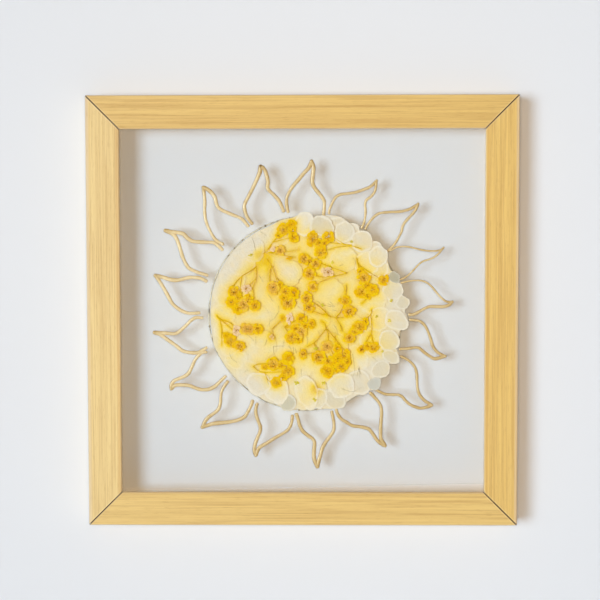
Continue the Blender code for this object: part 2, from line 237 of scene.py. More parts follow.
def speckle_group():
    """Small soft spots, as on dried petals and paint."""
    tree, given, out = group_tree(
        "speckle",
        "ShaderNodeTree",
        [("Vector", "Vector"), ("Scale", "Float", 1000.0), ("Level", "Float", 0.5), ("Soft", "Float", 0.1)],
        [("Mask", "Float"), ("Height", "Float")],
    )
    spots = waves(tree, given["Vector"], given["Scale"], 3.0, 0.6)[0]
    low = math_node(tree, "SUBTRACT", given["Level"], given["Soft"])
    high = math_node(tree, "ADD", given["Level"], given["Soft"])
    wire(tree, out, {"Mask": smooth_step(tree, spots, low, high), "Height": spots})
    return tree


def oak_group():
    """Straight oak grain that runs along the vector's X, with a dark joint at the mitres."""
    tree, given, out = group_tree(
        "oak grain",
        "ShaderNodeTree",
        [
            ("Grain", "Vector"),
            ("Place", "Vector"),
            ("Normal", "Vector"),
            ("Pale", "Color", (0.7, 0.5, 0.2, 1)),
            ("Deep", "Color", (0.5, 0.3, 0.1, 1)),
            ("Joint", "Color", (0.1, 0.05, 0.02, 1)),
        ],
        COATING,
    )

    def streaks(along, across, detail, roughness, low, high):
        """A mask of streaks that change so often in a metre along and across the grain."""
        stretched = vector_math(tree, "MULTIPLY", given["Grain"], (along, across, across))
        return smooth_step(tree, waves(tree, stretched, 1.0, detail, roughness)[0], low, high)

    fine = streaks(along=22.0, across=1500.0, detail=2.0, roughness=0.55, low=0.40, high=0.66)
    bands = streaks(along=6.0, across=400.0, detail=3.0, roughness=0.6, low=0.38, high=0.66)
    pores = streaks(along=170.0, across=3200.0, detail=1.0, roughness=0.5, low=0.60, high=0.72)
    dark = times_plus(tree, pores, 0.35, times_plus(tree, bands, 0.29, times(tree, fine, 0.55)))
    wood = mix(tree, math_node(tree, "MINIMUM", dark, 1.0), given["Pale"], given["Deep"])
    # Painted highlight: the eased arrises are paler
    front = math_node(tree, "ABSOLUTE", axes(tree, given["Normal"])["Y"])
    arris = times(tree, smooth_step(tree, front, 0.25, 0.5), smooth_step(tree, front, 0.97, 0.8))
    wood = laid(tree, wood, arris, 0.45, (0.78, 0.60, 0.38, 1))
    # Pale outer edges, a painted highlight, and an orange line beside the panes, on the upright rails
    place = axes(tree, given["Place"])
    side = math_node(tree, "ABSOLUTE", place["X"])
    past = math_node(tree, "SUBTRACT", side, math_node(tree, "ABSOLUTE", place["Z"]))
    upright = smooth_step(tree, past, 0.0, 0.0004)
    outer = smooth_step(tree, side, FRAME_SIDE / 2 - 0.0024, FRAME_SIDE / 2 - 0.0012)
    wood = laid(tree, wood, times(tree, outer, upright), 0.40, seen(238, 214, 184, LIGHT_OUTSIDE))
    beside = math_node(tree, "ABSOLUTE", math_node(tree, "SUBTRACT", side, OPENING + 0.0015))
    inner = times(tree, smooth_step(tree, beside, 0.0010, 0.0003), upright)
    wood = laid(tree, wood, inner, 0.38, seen(220, 164, 84, LIGHT_OUTSIDE))
    # The dark line where two rails meet, between pale cut edges
    off = math_node(tree, "ABSOLUTE", past)
    cut = smooth_step(tree, off, 0.0017, 0.0009)
    wood = laid(tree, wood, cut, 0.30, seen(244, 216, 160, LIGHT_OUTSIDE))
    wood = laid(tree, wood, smooth_step(tree, off, 0.00072, 0.00024), 0.95, given["Joint"])
    height = times_plus(tree, pores, -0.6, times(tree, fine, -0.4))
    wire(tree, out, {"Color": wood, "Height": height, "Roughness": times_plus(tree, dark, 0.16, 0.38)})
    return tree


def tissue_group():
    """Dry petal tissue: cream, stained yellow by the dye of the sprigs, with faint veins."""
    tree, given, out = group_tree(
        "petal tissue",
        "ShaderNodeTree",
        [("Place", "Vector"), ("Leaf", "Vector")] + [(mark, "Float", 0.0) for mark in LEAF_MARKS],
        COATING,
    )
    cloud = waves(tree, given["Place"], 130.0, 3.0, 0.55)[0]
    dye = times_plus(tree, math_node(tree, "SUBTRACT", cloud, 0.5), 0.45, given["Dye"])
    dyed = [
        (0.0, seen(231, 222, 200)),
        (0.14, seen(237, 222, 178)),
        (0.34, seen(242, 219, 139)),
        (0.58, seen(245, 214, 98)),
        (0.80, seen(240, 206, 48)),
        (1.0, seen(233, 190, 14)),
    ]
    grey_shade = [
        (0.0, seen(214, 200, 166)),
        (0.55, seen(206, 195, 164)),
        (0.75, seen(198, 194, 172)),
        (1.0, seen(228, 230, 222)),
    ]
    # Greyer petals take a painted beige shade, and the greyest, thin ones a pale bluish grey
    share = math_node(tree, "MINIMUM", times(tree, given["Grey"], 1.7), 0.9)
    tissue = mix(tree, share, ramp(tree, dye, dyed), ramp(tree, given["Grey"], grey_shade))
    # Veins fan out from the foot of each petal
    spread = vector_math(tree, "MULTIPLY", given["Leaf"], (11.0, 1.6, 1.0))
    vein = smooth_step(tree, waves(tree, spread, 1.0, 3.0, 0.6, given["Seed"])[0], 0.42, 0.64)
    tissue = laid(tree, tissue, vein, 0.16, seen(214, 196, 150))
    tissue = laid(tree, tissue, smooth_step(tree, cloud, 0.42, 0.7), 0.22, seen(244, 216, 166))
    # Pale lit edges, with a thin shaded line at the very rim
    lit = times(tree, smooth_step(tree, given["Rim"], 0.72, 0.93), given["Edge"])
    tissue = laid(tree, tissue, lit, 0.50, seen(244, 237, 220))
    line = times(tree, smooth_step(tree, given["Rim"], 0.95, 1.0), given["Edge"])
    tissue = laid(tree, tissue, line, 0.30, seen(190, 178, 148))
    height = times_plus(tree, vein, -0.15, waves(tree, given["Place"], 330.0)[0])
    wire(tree, out, {"Color": tissue, "Height": height, "Roughness": times_plus(tree, cloud, 0.2, 0.55)})
    return tree


SPECKLE = speckle_group()
OAK_GRAIN = oak_group()
TISSUE = tissue_group()


def use(tree, group, inputs):
    return node(tree, "ShaderNodeGroup", inputs, node_tree=group).outputs


def speckles(tree, place, scale, level, soft):
    """Spots: how many in a metre, the level that they start at, and how soft their edges are."""
    return use(tree, SPECKLE, {"Vector": place, "Scale": scale, "Level": level, "Soft": soft})


# Materials


def material_of(name, **values):
    """A material with its Principled shader, whose plain values are set here."""
    made = bpy.data.materials.new(name)
    made.use_nodes = True
    tree = made.node_tree
    shader = tree.nodes["Principled BSDF"]
    for key, value in values.items():
        shader.inputs[key.replace("_", " ").title().replace("Ior", "IOR")].default_value = value
    return made, tree, shader


def coated(tree, shader, colour, roughness, height, distance, strength=1.0):
    """Gives a shader its colour and roughness, and a fine relief of that height in metres."""
    relief = first(tree, "ShaderNodeBump", {"Height": height, "Distance": distance, "Strength": strength})
    wire(tree, shader.inputs, {"Base Color": colour, "Roughness": roughness, "Normal": relief})


def see_through(tree, shader, *shares):
    """Shows a shader that is seen through by each share, with its tint."""
    for share, tint in shares:
        through = first(tree, "ShaderNodeBsdfTransparent", {0: tint})
        shader = first(tree, "ShaderNodeMixShader", {0: share, 1: shader, 2: through})
    wire(tree, tree.nodes["Material Output"].inputs, {"Surface": shader})


def oak(name, upright, shift, pale, deep):
    """Pale straight-grained oak for one rail, with its grain along the rail."""
    made, tree, shader = material_of(name, coat_weight=0.12, coat_roughness=0.35)
    place = object_place(tree)
    turn = (0, math.pi / 2 if upright else 0, 0)
    grain = first(tree, "ShaderNodeMapping", {"Vector": place, "Location": shift, "Rotation": turn})
    normal = node(tree, "ShaderNodeNewGeometry").outputs["Normal"]
    colours = {"Pale": pale, "Deep": deep, "Joint": seen(90, 50, 22, LIGHT_OUTSIDE)}
    wood = use(tree, OAK_GRAIN, {"Grain": grain, "Place": place, "Normal": normal} | colours)
    coated(tree, shader, wood["Color"], wood["Roughness"], wood["Height"], 0.00006)
    return made


def clear_pane(name, tint):
    """Plain clear glass. Lamps reach what is behind it."""
    made, tree, shader = material_of(
        name, base_color=tint, roughness=0.0, transmission_weight=1.0, ior=1.45, specular_ior_level=0.3
    )
    rays = node(tree, "ShaderNodeLightPath").outputs
    see_through(tree, shader.outputs[0], (rays["Is Shadow Ray"], tint), (rays["Is Diffuse Ray"], tint))
    return made


# Paints as crown, edge and spots, first where they are pale and then where they are deep
# The paler crown is a painted highlight and the darker edge painted shade
GOLD_PAINT = (
    (seen(247, 224, 172), seen(236, 204, 146), seen(226, 184, 116)),
    (seen(218, 188, 128), seen(198, 160, 100), seen(176, 132, 70)),
)
PEWTER_PAINT = (
    (seen(232, 221, 190), seen(212, 198, 164), seen(180, 164, 132)),
    (seen(160, 146, 118), seen(110, 97, 74), seen(80, 70, 52)),
)


def raised_paint(name, paints, metallic, roughness):
    """Dried outliner paint: a painted highlight on its crown, painted shade at its edges, a little mottled.
    """
    made, tree, shader = material_of(name, metallic=metallic, coat_weight=0.25, coat_roughness=0.25)
    place = object_place(tree)
    spots = speckles(tree, place, scale=900.0, level=0.56, soft=0.12)
    broad = speckles(tree, place, scale=120.0, level=0.5, soft=0.16)
    deep = times_plus(tree, broad["Mask"], 0.35, attribute(tree, "deep"))
    deep = math_node(tree, "MINIMUM", deep, 1.0)
    crown, edge, dots = (mix(tree, deep, pale, dark) for pale, dark in zip(*paints))
    # Painted highlight along the crown, painted shade towards the edges
    body = mix(tree, smooth_step(tree, attribute(tree, "across"), 0.45, 1.0), crown, edge)
    body = laid(tree, body, spots["Mask"], 0.45, dots)
    rough = times_plus(tree, spots["Mask"], 0.15, roughness)
    coated(tree, shader, body, rough, spots["Height"], 0.00012, 0.6)
    return made


def petal_finish(name, alpha=1.0):
    """Dry petal tissue. An alpha below 1 is for a petal that what lies behind shows through."""
    made, tree, shader = material_of(name, alpha=alpha, specular_ior_level=0.12)
    marks = {mark: attribute(tree, mark.lower()) for mark in LEAF_MARKS}
    leaf = {"Place": object_place(tree), "Leaf": attribute(tree, "leaf", "Vector")}
    tissue = use(tree, TISSUE, leaf | marks)
    coated(tree, shader, tissue["Color"], tissue["Roughness"], tissue["Height"], 0.0005, 0.35)
    return made


def blossom_finish(name):
    """Dyed blossom: strong yellow, brown and speckled towards the heart, some of it left pale."""
    made, tree, shader = material_of(name, specular_ior_level=0.05)
    place = object_place(tree)
    fine = speckles(tree, place, scale=1500.0, level=0.52, soft=0.07)
    coarse = speckles(tree, place, scale=620.0, level=0.5, soft=0.10)["Mask"]
    brown = attribute(tree, "brown")
    along = attribute(tree, "along")
    heart = times_plus(tree, along, attribute(tree, "reach"), attribute(tree, "start"))
    tips = mix(tree, attribute(tree, "tone"), seen(241, 205, 10), seen(236, 186, 0))
    # The little petals are darker towards their feet: painted shade where they overlap
    feet = mix(tree, coarse, seen(238, 186, 0), seen(226, 163, 0))
    yellow = mix(tree, smooth_step(tree, along, 0.2, 0.85), feet, tips)
    tan = mix(tree, coarse, seen(241, 194, 84), seen(220, 158, 34))
    body = mix(tree, times(tree, brown, smooth_step(tree, heart, 0.95, 0.42)), yellow, tan)
    body = mix(tree, attribute(tree, "pale"), body, seen(238, 208, 168))
    specks = times(tree, fine["Mask"], smooth_step(tree, heart, 0.80, 0.2))
    body = laid(tree, body, specks, times_plus(tree, brown, 0.36, 0.20), seen(142, 84, 2))
    coated(tree, shader, body, times_plus(tree, fine["Mask"], 0.15, 0.55), fine["Height"], 0.0002, 0.6)
    return made


def stem_finish(name, pale, deep):
    """Thin dyed stem or fibre, mottled along its length."""
    made, tree, shader = material_of(name, specular_ior_level=0.08)
    patches = speckles(tree, object_place(tree), scale=420.0, level=0.5, soft=0.12)
    body = mix(tree, patches["Mask"], pale, deep)
    coated(tree, shader, body, times_plus(tree, patches["Mask"], 0.15, 0.5), patches["Height"], 0.00008, 0.6)
    return made


# Geometry trees

# Edges that bend more than this, in radians, stay sharp
SHARP_BEND = 0.9


def geometry_tree(name, inputs):
    """A geometry tree that takes points or paths, its named inputs and the finish."""
    inputs = [("Geometry", "Geometry")] + inputs + [("Finish", "Material")]
    return group_tree(name, "GeometryNodeTree", inputs, [("Geometry", "Geometry")])


def stored(tree, name, kind="FLOAT"):
    """A named attribute of the geometry."""
    return first(tree, "GeometryNodeInputNamedAttribute", {"Name": name}, data_type=kind)


def above(tree, value, limit):
    """True where the value is greater than the limit."""
    return first(tree, "FunctionNodeCompare", {0: value, 1: limit}, operation="GREATER_THAN")


def finish_tree(tree, geometry, finish, out):
    """Every tree ends with real geometry, smooth but for its rims, in its material."""
    real = first(tree, "GeometryNodeRealizeInstances", {0: geometry})
    smooth = first(tree, "GeometryNodeSetShadeSmooth", {"Geometry": real})
    sharp = above(tree, first(tree, "GeometryNodeInputMeshEdgeAngle"), SHARP_BEND)
    creased = {"Geometry": smooth, "Selection": sharp, "Shade Smooth": False}
    creased = first(tree, "GeometryNodeSetShadeSmooth", creased, domain="EDGE")
    dressed = first(tree, "GeometryNodeSetMaterial", {"Geometry": creased, "Material": finish})
    wire(tree, out, {"Geometry": dressed})


def bead_tree():
    """A domed bead along each path, with a flat back and an uneven width, and drops where marked."""
    sizes = [("Rise", "Float"), ("Unevenness", "Float"), ("Wave", "Float"), ("Sides", "Int")]
    tree, given, out = geometry_tree("bead along a path", sizes)
    curve = first(tree, "GeometryNodeMeshToCurve", {"Mesh": given["Geometry"]})
    facing = {"Curve": curve, "Normal": (0, -1, 0)}
    level = first(tree, "GeometryNodeSetCurveNormal", facing, mode="FREE")
    swing = waves(tree, first(tree, "GeometryNodeInputPosition"), given["Wave"], 2.0, 0.6)[0]
    swing = times(tree, math_node(tree, "SUBTRACT", swing, 0.5), given["Unevenness"])
    reach = times(tree, math_node(tree, "ADD", swing, 1.0), stored(tree, "reach"))
    # The bead's section: half a circle, flattened by the rise, with a flat back
    circle = first(tree, "GeometryNodeCurvePrimitiveCircle", {"Resolution": given["Sides"], "Radius": 1.0})
    corner = axes(tree, first(tree, "GeometryNodeInputPosition"))
    risen = times(tree, math_node(tree, "MAXIMUM", corner["X"], 0.0), given["Rise"])
    domed = first(tree, "ShaderNodeCombineXYZ", {0: risen, 1: corner["Y"], 2: 0.0})
    section = first(tree, "GeometryNodeSetPosition", {"Geometry": circle, "Position": domed})
    across = {"Geometry": section, "Name": "across", "Value": math_node(tree, "ABSOLUTE", corner["Y"])}
    section = first(tree, "GeometryNodeStoreNamedAttribute", across, data_type="FLOAT", domain="POINT")
    bead = {"Curve": level, "Profile Curve": section, "Scale": reach, "Fill Caps": True}
    bead = first(tree, "GeometryNodeCurveToMesh", bead)
    # The drops: flattened balls
    drop = stored(tree, "drop")
    chosen = {"Mesh": given["Geometry"], "Selection": above(tree, drop, 0.0), "Radius": 0.001}
    points = first(tree, "GeometryNodeMeshToPoints", chosen)
    ball = first(tree, "GeometryNodeMeshIcoSphere", {"Radius": 1.0, "Subdivisions": 3})
    ball = first(tree, "GeometryNodeTransform", {"Geometry": ball, "Scale": (1.0, 0.62, 1.0)})
    drops = {"Points": points, "Instance": ball, "Scale": drop}
    drops = first(tree, "GeometryNodeInstanceOnPoints", drops)
    both = node(tree, "GeometryNodeJoinGeometry", {0: bead})
    tree.links.new(drops, both.inputs[0])
    finish_tree(tree, both.outputs[0], given["Finish"], out)
    return tree


def scatter_tree():
    """Copies one small shape to every point, by the turn and size kept there, and crumples them."""
    sizes = [("Shape", "Object"), ("Crumple", "Float"), ("Flatness", "Float"), ("Fold", "Float")]
    tree, given, out = geometry_tree("shapes on points", sizes)
    placed = {
        "Points": given["Geometry"],
        "Instance": node(tree, "GeometryNodeObjectInfo", {"Object": given["Shape"]}).outputs["Geometry"],
        "Rotation": first(tree, "FunctionNodeEulerToRotation", {0: stored(tree, "turn", "FLOAT_VECTOR")}),
        "Scale": stored(tree, "size", "FLOAT_VECTOR"),
    }
    placed = first(tree, "GeometryNodeInstanceOnPoints", placed)
    real = first(tree, "GeometryNodeRealizeInstances", {0: placed})
    push = waves(tree, first(tree, "GeometryNodeInputPosition"), given["Fold"])[1]
    push = vector_math(tree, "SUBTRACT", push, (0.5, 0.5, 0.5))
    flat = first(tree, "ShaderNodeCombineXYZ", {0: 1.0, 1: given["Flatness"], 2: 1.0})
    push = {0: vector_math(tree, "MULTIPLY", push, flat), "Scale": given["Crumple"]}
    push = first(tree, "ShaderNodeVectorMath", push, operation="SCALE")
    moved = first(tree, "GeometryNodeSetPosition", {"Geometry": real, "Offset": push})
    finish_tree(tree, moved, given["Finish"], out)
    return tree


BEAD = bead_tree()
SCATTER = scatter_tree()


# Meshes and objects


def linked(name, data):
    """A new object in the scene."""
    made = bpy.data.objects.new(name, data)
    SCENE.collection.objects.link(made)
    return made


def hidden(name, mesh):
    """A shape that is only copied."""
    made = linked(name, mesh)
    made.hide_render = True
    return made


def joined(pieces):
    """The first piece, with the others joined into it."""
    with bpy.context.temp_override(
        active_object=pieces[0], selected_editable_objects=pieces, selected_objects=pieces
    ):
        bpy.ops.object.join()
    return pieces[0]


def facing_out(mesh):
    """Turns every face outwards."""
    shaping = bmesh.new()
    shaping.from_mesh(mesh)
    bmesh.ops.recalc_face_normals(shaping, faces=shaping.faces)
    shaping.to_mesh(mesh)
    shaping.free()


def keep(mesh, name, values, kind="FLOAT"):
    """Stores one value for each vertex."""
    layer = mesh.attributes.new(name, kind, "POINT")
    field = "vector" if kind == "FLOAT_VECTOR" else "value"
    layer.data.foreach_set(field, np.asarray(values, np.float32).ravel())


def grown(name, mesh, tree, values):
    """The plain mesh object that a tree makes from a mesh."""
    source = linked(f"{name} source", mesh)
    maker = source.modifiers.new("maker", "NODES")
    maker.node_group = tree
    for item in tree.interface.items_tree:
        if item.item_type == "SOCKET" and item.in_out == "INPUT" and item.name in values:
            maker[item.identifier] = values[item.name]
    graph = bpy.context.evaluated_depsgraph_get()
    result = bpy.data.meshes.new_from_object(
        source.evaluated_get(graph), preserve_all_data_layers=True, depsgraph=graph
    )
    source.modifiers.remove(maker)
    bpy.data.objects.remove(source, do_unlink=True)
    result.name = name
    result.materials.clear()
    result.materials.append(values["Finish"])
    result.polygons.foreach_set("material_index", [0] * len(result.polygons))
    return linked(name, result)


def beads(name, mesh, finish, rise, unevenness, wave, sides):
    """Raised lines along the paths of a mesh, whose width wavers so often in a metre."""
    values = {"Rise": rise, "Unevenness": unevenness, "Wave": wave, "Sides": sides, "Finish": finish}
    return grown(name, mesh, BEAD, values)


def scattered(name, rows, shape, finish, crumple, flatness, fold):
    """Copies of a shape, one for each row of a turn, a size and named numbers."""
    mesh = bpy.data.meshes.new(f"{name} points")
    mesh.from_pydata([row["place"] for row in rows], [], [])
    for key in rows[0]:
        if key != "place":
            kind = "FLOAT_VECTOR" if key in ("turn", "size") else "FLOAT"
            keep(mesh, key, [row[key] for row in rows], kind)
    values = {"Shape": shape, "Crumple": crumple, "Flatness": flatness, "Fold": fold, "Finish": finish}
    return grown(name, mesh, SCATTER, values)


def turned(angle, tilt=0.0, roll=0.0):
    """Turns for a shape in the frame's plane, its tip tilted to the front."""
    turn = Matrix.Rotation(angle, 3, "Y") @ Matrix.Rotation(-tilt, 3, "Z") @ Matrix.Rotation(roll, 3, "X")
    return tuple(turn.to_euler())


# Paths


def flowing(points, step):
    """Even steps along the smooth curve through points, each a list of numbers."""
    points = [np.array(point, float) for point in points]
    ends = [2 * points[0] - points[1]] + points + [2 * points[-1] - points[-2]]
    dense = []
    for i in range(1, len(ends) - 2):
        p0, p1, p2, p3 = ends[i - 1 : i + 3]
        for share in np.linspace(0, 1, 24, endpoint=False):
            a = 2 * p1
            b = (p2 - p0) * share
            c = (2 * p0 - 5 * p1 + 4 * p2 - p3) * share**2
            d = (3 * p1 - p0 - 3 * p2 + p3) * share**3
            dense.append((a + b + c + d) / 2)
    dense = np.array(dense + [points[-1]])
    run = np.concatenate([[0], np.cumsum(np.linalg.norm(np.diff(dense, axis=0), axis=1))])
    even = np.linspace(0, run[-1], max(3, int(run[-1] / step) + 1))
    return np.stack([np.interp(even, run, part) for part in dense.T], axis=1)


def path_mesh(name, strokes, depth, closed=False):
    """Edges along strokes of rows: pixel x, pixel y, half width and drop size in mm, and depth of tone."""
    verts, edges, marks = [], [], []
    for rows in strokes:
        start = len(verts)
        verts += [spot(row[0], row[1], depth) for row in rows]
        marks += [(row[2] / 1000, row[3] / 1000, row[4]) for row in rows]
        edges += [(i, i + 1) for i in range(start, len(verts) - 1)]
        if closed:
            edges.append((len(verts) - 1, start))
    mesh = bpy.data.meshes.new(name)
    mesh.from_pydata(verts, edges, [])
    for mark, values in zip(("reach", "drop", "deep"), zip(*marks)):
        keep(mesh, mark, values)
    return mesh


# The length that the tone of a tip fades over, in pixels
TIP_REACH = 9.0
# A line's end is round over this many steps, from a blunt start of this many
ROUND_STEPS = 1.6
BLUNT_STEPS = 0.35


def stroke(points, half, step=0.8, foot=1.0, tip=1.0, drops=(), tone=0.0, tip_tone=0.0):
    """A brushed line with rounded ends. foot and tip are the shares of its width at its ends."""
    rows = flowing(points, step)
    last = len(rows) - 1
    made = []
    for i, (x, y) in enumerate(rows):
        width = foot + (tip - foot) * i / last
        rounded = min(1.0, math.sqrt((min(i, last - i) + BLUNT_STEPS) / ROUND_STEPS))
        near_tip = max(0.0, 1 - (last - i) * step / TIP_REACH)
        made.append([x, y, half * width * rounded, 0.0, tone + tip_tone * near_tip])
    for place, size in drops:
        made[round(place * last)][3] = size
    return made


def near(angle, middle, width):
    """1 where an angle round the disc is at the middle given in degrees, less beyond it."""
    return math.exp(-(((math.degrees(angle) % 360 - middle) / width) ** 2))


# What the photograph shows, in pixels of its view

# Each ray is two lines of half a width in millimetres, as points from root to tip
RAYS = [
    ((0.82, [(288, 212.5), (287, 209), (286, 203), (286.5, 197), (289, 191), (293, 185), (299, 178),
      (304, 172), (308.5, 167), (311, 161)]),
     (0.86, [(323, 215), (323.8, 206), (323.5, 200), (319.5, 194), (315, 188.5), (312, 182),
      (312.7, 172), (313, 166), (311, 161)])),
    ((0.66, [(328.5, 214), (329, 209), (331.5, 203), (335, 197), (340, 194), (347, 193), (354, 192),
      (362, 189.5), (370, 186), (376, 180.3)]),
     (0.62, [(361, 228), (364, 220), (365, 211), (364.5, 204), (366, 199.5), (371, 195.5), (374.5, 190),
      (376, 180.3)])),
    ((0.62, [(364.5, 229), (367, 224.5), (370.5, 219.5), (375, 215), (380, 212.5), (390, 211.5),
      (400, 211), (408, 209), (414, 206), (417.5, 203.5)]),
     (0.6, [(387, 250.5), (392, 246), (396, 240.5), (398.5, 236), (401, 231), (402, 226), (405, 221),
      (410, 215.5), (414.5, 210), (417.5, 203.5)])),
    ((0.42, [(386, 250.5), (391, 249.5), (395.5, 247), (402, 246), (409, 246.5), (417, 248.5),
      (425, 250), (433, 250.5), (440, 249.5), (443, 247)]),
     (0.44, [(399, 279.5), (406, 276), (412, 270.5), (417, 265), (422, 261), (428, 259), (433, 257),
      (438, 253), (443, 247)])),
    ((0.46, [(400, 282.5), (406, 281), (413, 280), (420, 280), (426, 282), (431, 286), (436, 292),
      (441, 297.5), (446, 301), (451.5, 301.5)]),
     (0.72, [(407.5, 314), (412, 314), (417, 312), (423, 308.5), (429, 306), (436, 306), (443, 306),
      (448, 304.5), (451.5, 301.5)])),
    ((0.68, [(408.5, 319), (413, 319.5), (419, 320.5), (424, 324.5), (427, 330), (430, 338),
      (432.5, 346), (437, 351.5), (442, 354.5), (444.5, 355.5)]),
     (0.72, [(398.5, 348.5), (407, 348), (414, 347), (418.5, 347.5), (424, 352), (429, 355.5),
      (433.5, 358), (438, 357.5), (444.5, 355.5)])),
    ((0.68, [(399.5, 355.5), (404, 357.5), (409.5, 361), (414, 366), (416, 372), (416.5, 380),
      (417, 388), (419, 394), (423.5, 399.5), (428, 402.5), (431, 404.5)]),
     (0.7, [(375, 389), (379, 391), (385, 393.5), (392, 394), (397, 394), (401.5, 396), (405, 400),
      (409, 403.5), (414, 406), (420, 407.5), (426, 406.5), (431, 404.5)])),
    ((0.82, [(369, 391.5), (373, 395.5), (377, 400), (380, 405), (381, 411), (380.5, 420), (380, 430),
      (380.5, 438), (384.5, 445)]),
     (0.8, [(335.5, 408), (337, 413), (340.5, 418), (346, 421.5), (352, 425), (359, 426), (366, 427.5),
      (369.5, 429.5), (373.5, 435), (377, 440), (381, 443), (384.5, 445)])),
    ((0.8, [(331, 410), (332.5, 417), (333.5, 424), (333, 430), (330, 435), (325.5, 441), (322, 447),
      (320, 454), (318, 461), (317, 466)]),
     (0.86, [(296, 414), (297.5, 418), (299, 424), (302, 430), (307, 434.5), (312, 438), (314, 442),
      (313.5, 450), (313.5, 457), (315, 462), (317, 466)])),
    ((0.78, [(292, 414), (291.5, 420), (290, 425), (287, 429.5), (281, 433.5), (274, 437.5), (267, 442),
      (260, 446), (257, 450), (255.5, 454.5)]),
     (0.84, [(257, 402), (255.3, 409), (256, 415), (258, 421), (259.8, 426), (259.5, 431), (257, 437),
      (254.5, 444), (254, 450), (255.5, 454.5)])),
    ((0.8, [(228, 380), (224.5, 384.5), (221.5, 390), (220.3, 396), (220, 402), (218, 408.5), (213, 413),
      (208, 416.5), (204.5, 421), (202, 426.5)]),
     (0.84, [(252.5, 399), (250.5, 405), (247.5, 411), (244, 416), (238.5, 419), (231, 421), (222, 422),
      (213, 423), (206, 425), (202, 426.5)])),
    ((0.8, [(207, 351.5), (202, 352), (198, 355), (194.5, 359.5), (192, 365), (189.5, 370.5),
      (186, 374.5), (180, 377.5), (174, 380), (171, 384), (171, 388)]),
     (0.84, [(226, 375), (223, 377.5), (219, 381.5), (214, 386), (208, 388.7), (201, 389), (195, 387.3),
      (189, 385), (182, 384.3), (175, 384.7), (171, 388)])),
    ((0.8, [(203, 317.5), (196, 317), (191, 319.5), (187, 323.5), (181, 329), (175, 333), (165, 332.5),
      (154, 332)]),
     (0.82, [(207, 346.5), (203, 349), (197, 352), (190, 352), (182, 350), (175, 344.5), (167, 339),
      (160, 334), (154, 332)])),
    ((0.86, [(207, 281.5), (201, 278), (195, 277), (188, 277), (178, 279.5), (170, 279), (162, 276.5),
      (155, 275)]),
     (0.82, [(200, 312), (196, 312.5), (188, 312.5), (180, 309.5), (172, 303), (168, 296), (163, 287),
      (158, 279), (155, 275)])),
    ((0.86, [(223, 250), (218, 245.5), (213, 242), (200, 241.5), (192, 240.5), (187, 237.5), (182, 233),
      (172, 231.5), (165, 230)]),
     (0.82, [(208, 275), (198, 272), (190, 268.5), (186.5, 265), (182.5, 257), (180, 249), (177, 240),
      (173, 234), (165, 230)])),
    ((0.82, [(248.5, 226.5), (245, 222), (240, 217.5), (229, 213), (219, 208), (216, 203), (214.5, 197),
      (211, 192), (206.5, 188.5), (203, 187)]),
     (0.74, [(222, 243.5), (215, 239), (210, 231), (206, 222), (204.3, 213), (204.3, 200), (203.5, 192),
      (203, 187)])),
    ((0.86, [(252.5, 224), (249, 220), (246, 215), (244, 208), (244.5, 203), (248, 196), (254, 184),
      (259, 172.5), (260, 166)]),
     (0.86, [(283, 210), (279, 201), (274, 195), (267.4, 188), (267.4, 180), (264, 169), (260, 166)])),
]

# How deep the gold of each ray is
RAY_TONES = (0.45, 0.4, 0.5, 0.5, 0.45, 0.7, 0.75, 0.7, 0.6, 0.6, 0.45, 0.12, 0, 0, 0, 0.1, 0.4)

# Dark drops of paint round the ring
RING_DROPS = [
    (288, 213), (292, 217), (310, 217), (322, 218.5), (224, 252), (265, 225), (242, 239), (234, 247),
    (209, 326), (263, 403.5), (267, 399.5), (283, 405), (292, 407), (298, 412), (330, 410), (347, 397),
    (397, 336), (408, 319.5), (399, 355), (395, 283), (367, 384), (394, 348),
]

# Petals that stand out: middle, half width, half height, how grey they are (on the rim petals, painted
# shade)
PETALS = [
    (303, 224, 11, 12, 0), (322, 226, 12, 11, 0.35), (344, 231, 11, 11, 0.2), (361, 241, 11, 11, 0.2),
    (378, 256, 10, 11, 0.1), (394, 277, 4.5, 7, 0.75), (402, 303, 7.5, 7.5, 0.35),
    (396, 320, 12, 10, 0.15), (388, 340, 10, 10, 0.2), (390, 356, 9, 8, 0.3), (380, 369, 9, 8.5, 0.3),
    (374, 383, 7.5, 6.5, 0.95), (341, 385, 13.5, 13, 0.05), (306, 392, 12, 17, 0), (276, 390, 13, 14, 0),
    (258, 383, 13, 12, 0.1), (289, 272, 13, 13, 0.05), (343, 259, 13, 13, 0), (330, 291, 13, 13, 0),
    (262, 345, 15, 14, 0),
]

# The petals of the layer below, in the same way
LAYER_PETALS = [
    (337, 227, 11, 12, 0.25), (350, 233, 11, 11, 0.2), (373, 250, 10, 10, 0.15), (378, 267, 11, 11, 0.1),
    (392, 290, 10, 10, 0.2), (358, 382, 13, 13, 0.2), (334, 399, 12, 9, 0.3), (318, 398, 9, 10, 0.15),
    (287, 402, 8, 8, 0.75), (247, 371, 12, 12, 0.1), (236, 358, 11, 11, 0), (229, 345, 11, 10, 0),
    (225, 329, 12, 12, 0), (224, 312, 12, 12, 0), (225, 294, 12, 13, 0.05), (232, 278, 13, 13, 0.1),
    (241, 263, 13, 13, 0.1), (253, 250, 12, 12, 0.1), (264, 241, 12, 11, 0.1), (278, 235, 12, 10, 0.1),
    (289, 231, 9, 10, 0.1), (262, 262, 13, 12, 0), (306, 250, 12, 12, 0), (366, 263, 13, 13, 0),
    (372, 300, 14, 14, 0), (380, 318, 13, 13, 0), (372, 340, 13, 13, 0), (356, 358, 13, 13, 0),
    (255, 318, 14, 14, 0), (243, 300, 13, 13, 0), (286, 348, 13, 13, 0), (300, 365, 14, 14, 0),
    (317, 318, 13, 13, 0), (290, 315, 13, 13, 0), (350, 325, 13, 13, 0), (335, 345, 13, 13, 0),
    (275, 300, 13, 13, 0), (310, 275, 13, 13, 0), (240, 335, 12, 12, 0), (305, 335, 13, 13, 0),
    (325, 370, 13, 13, 0), (270, 370, 13, 12, 0), (352, 292, 13, 13, 0), (330, 262, 12, 12, 0),
]

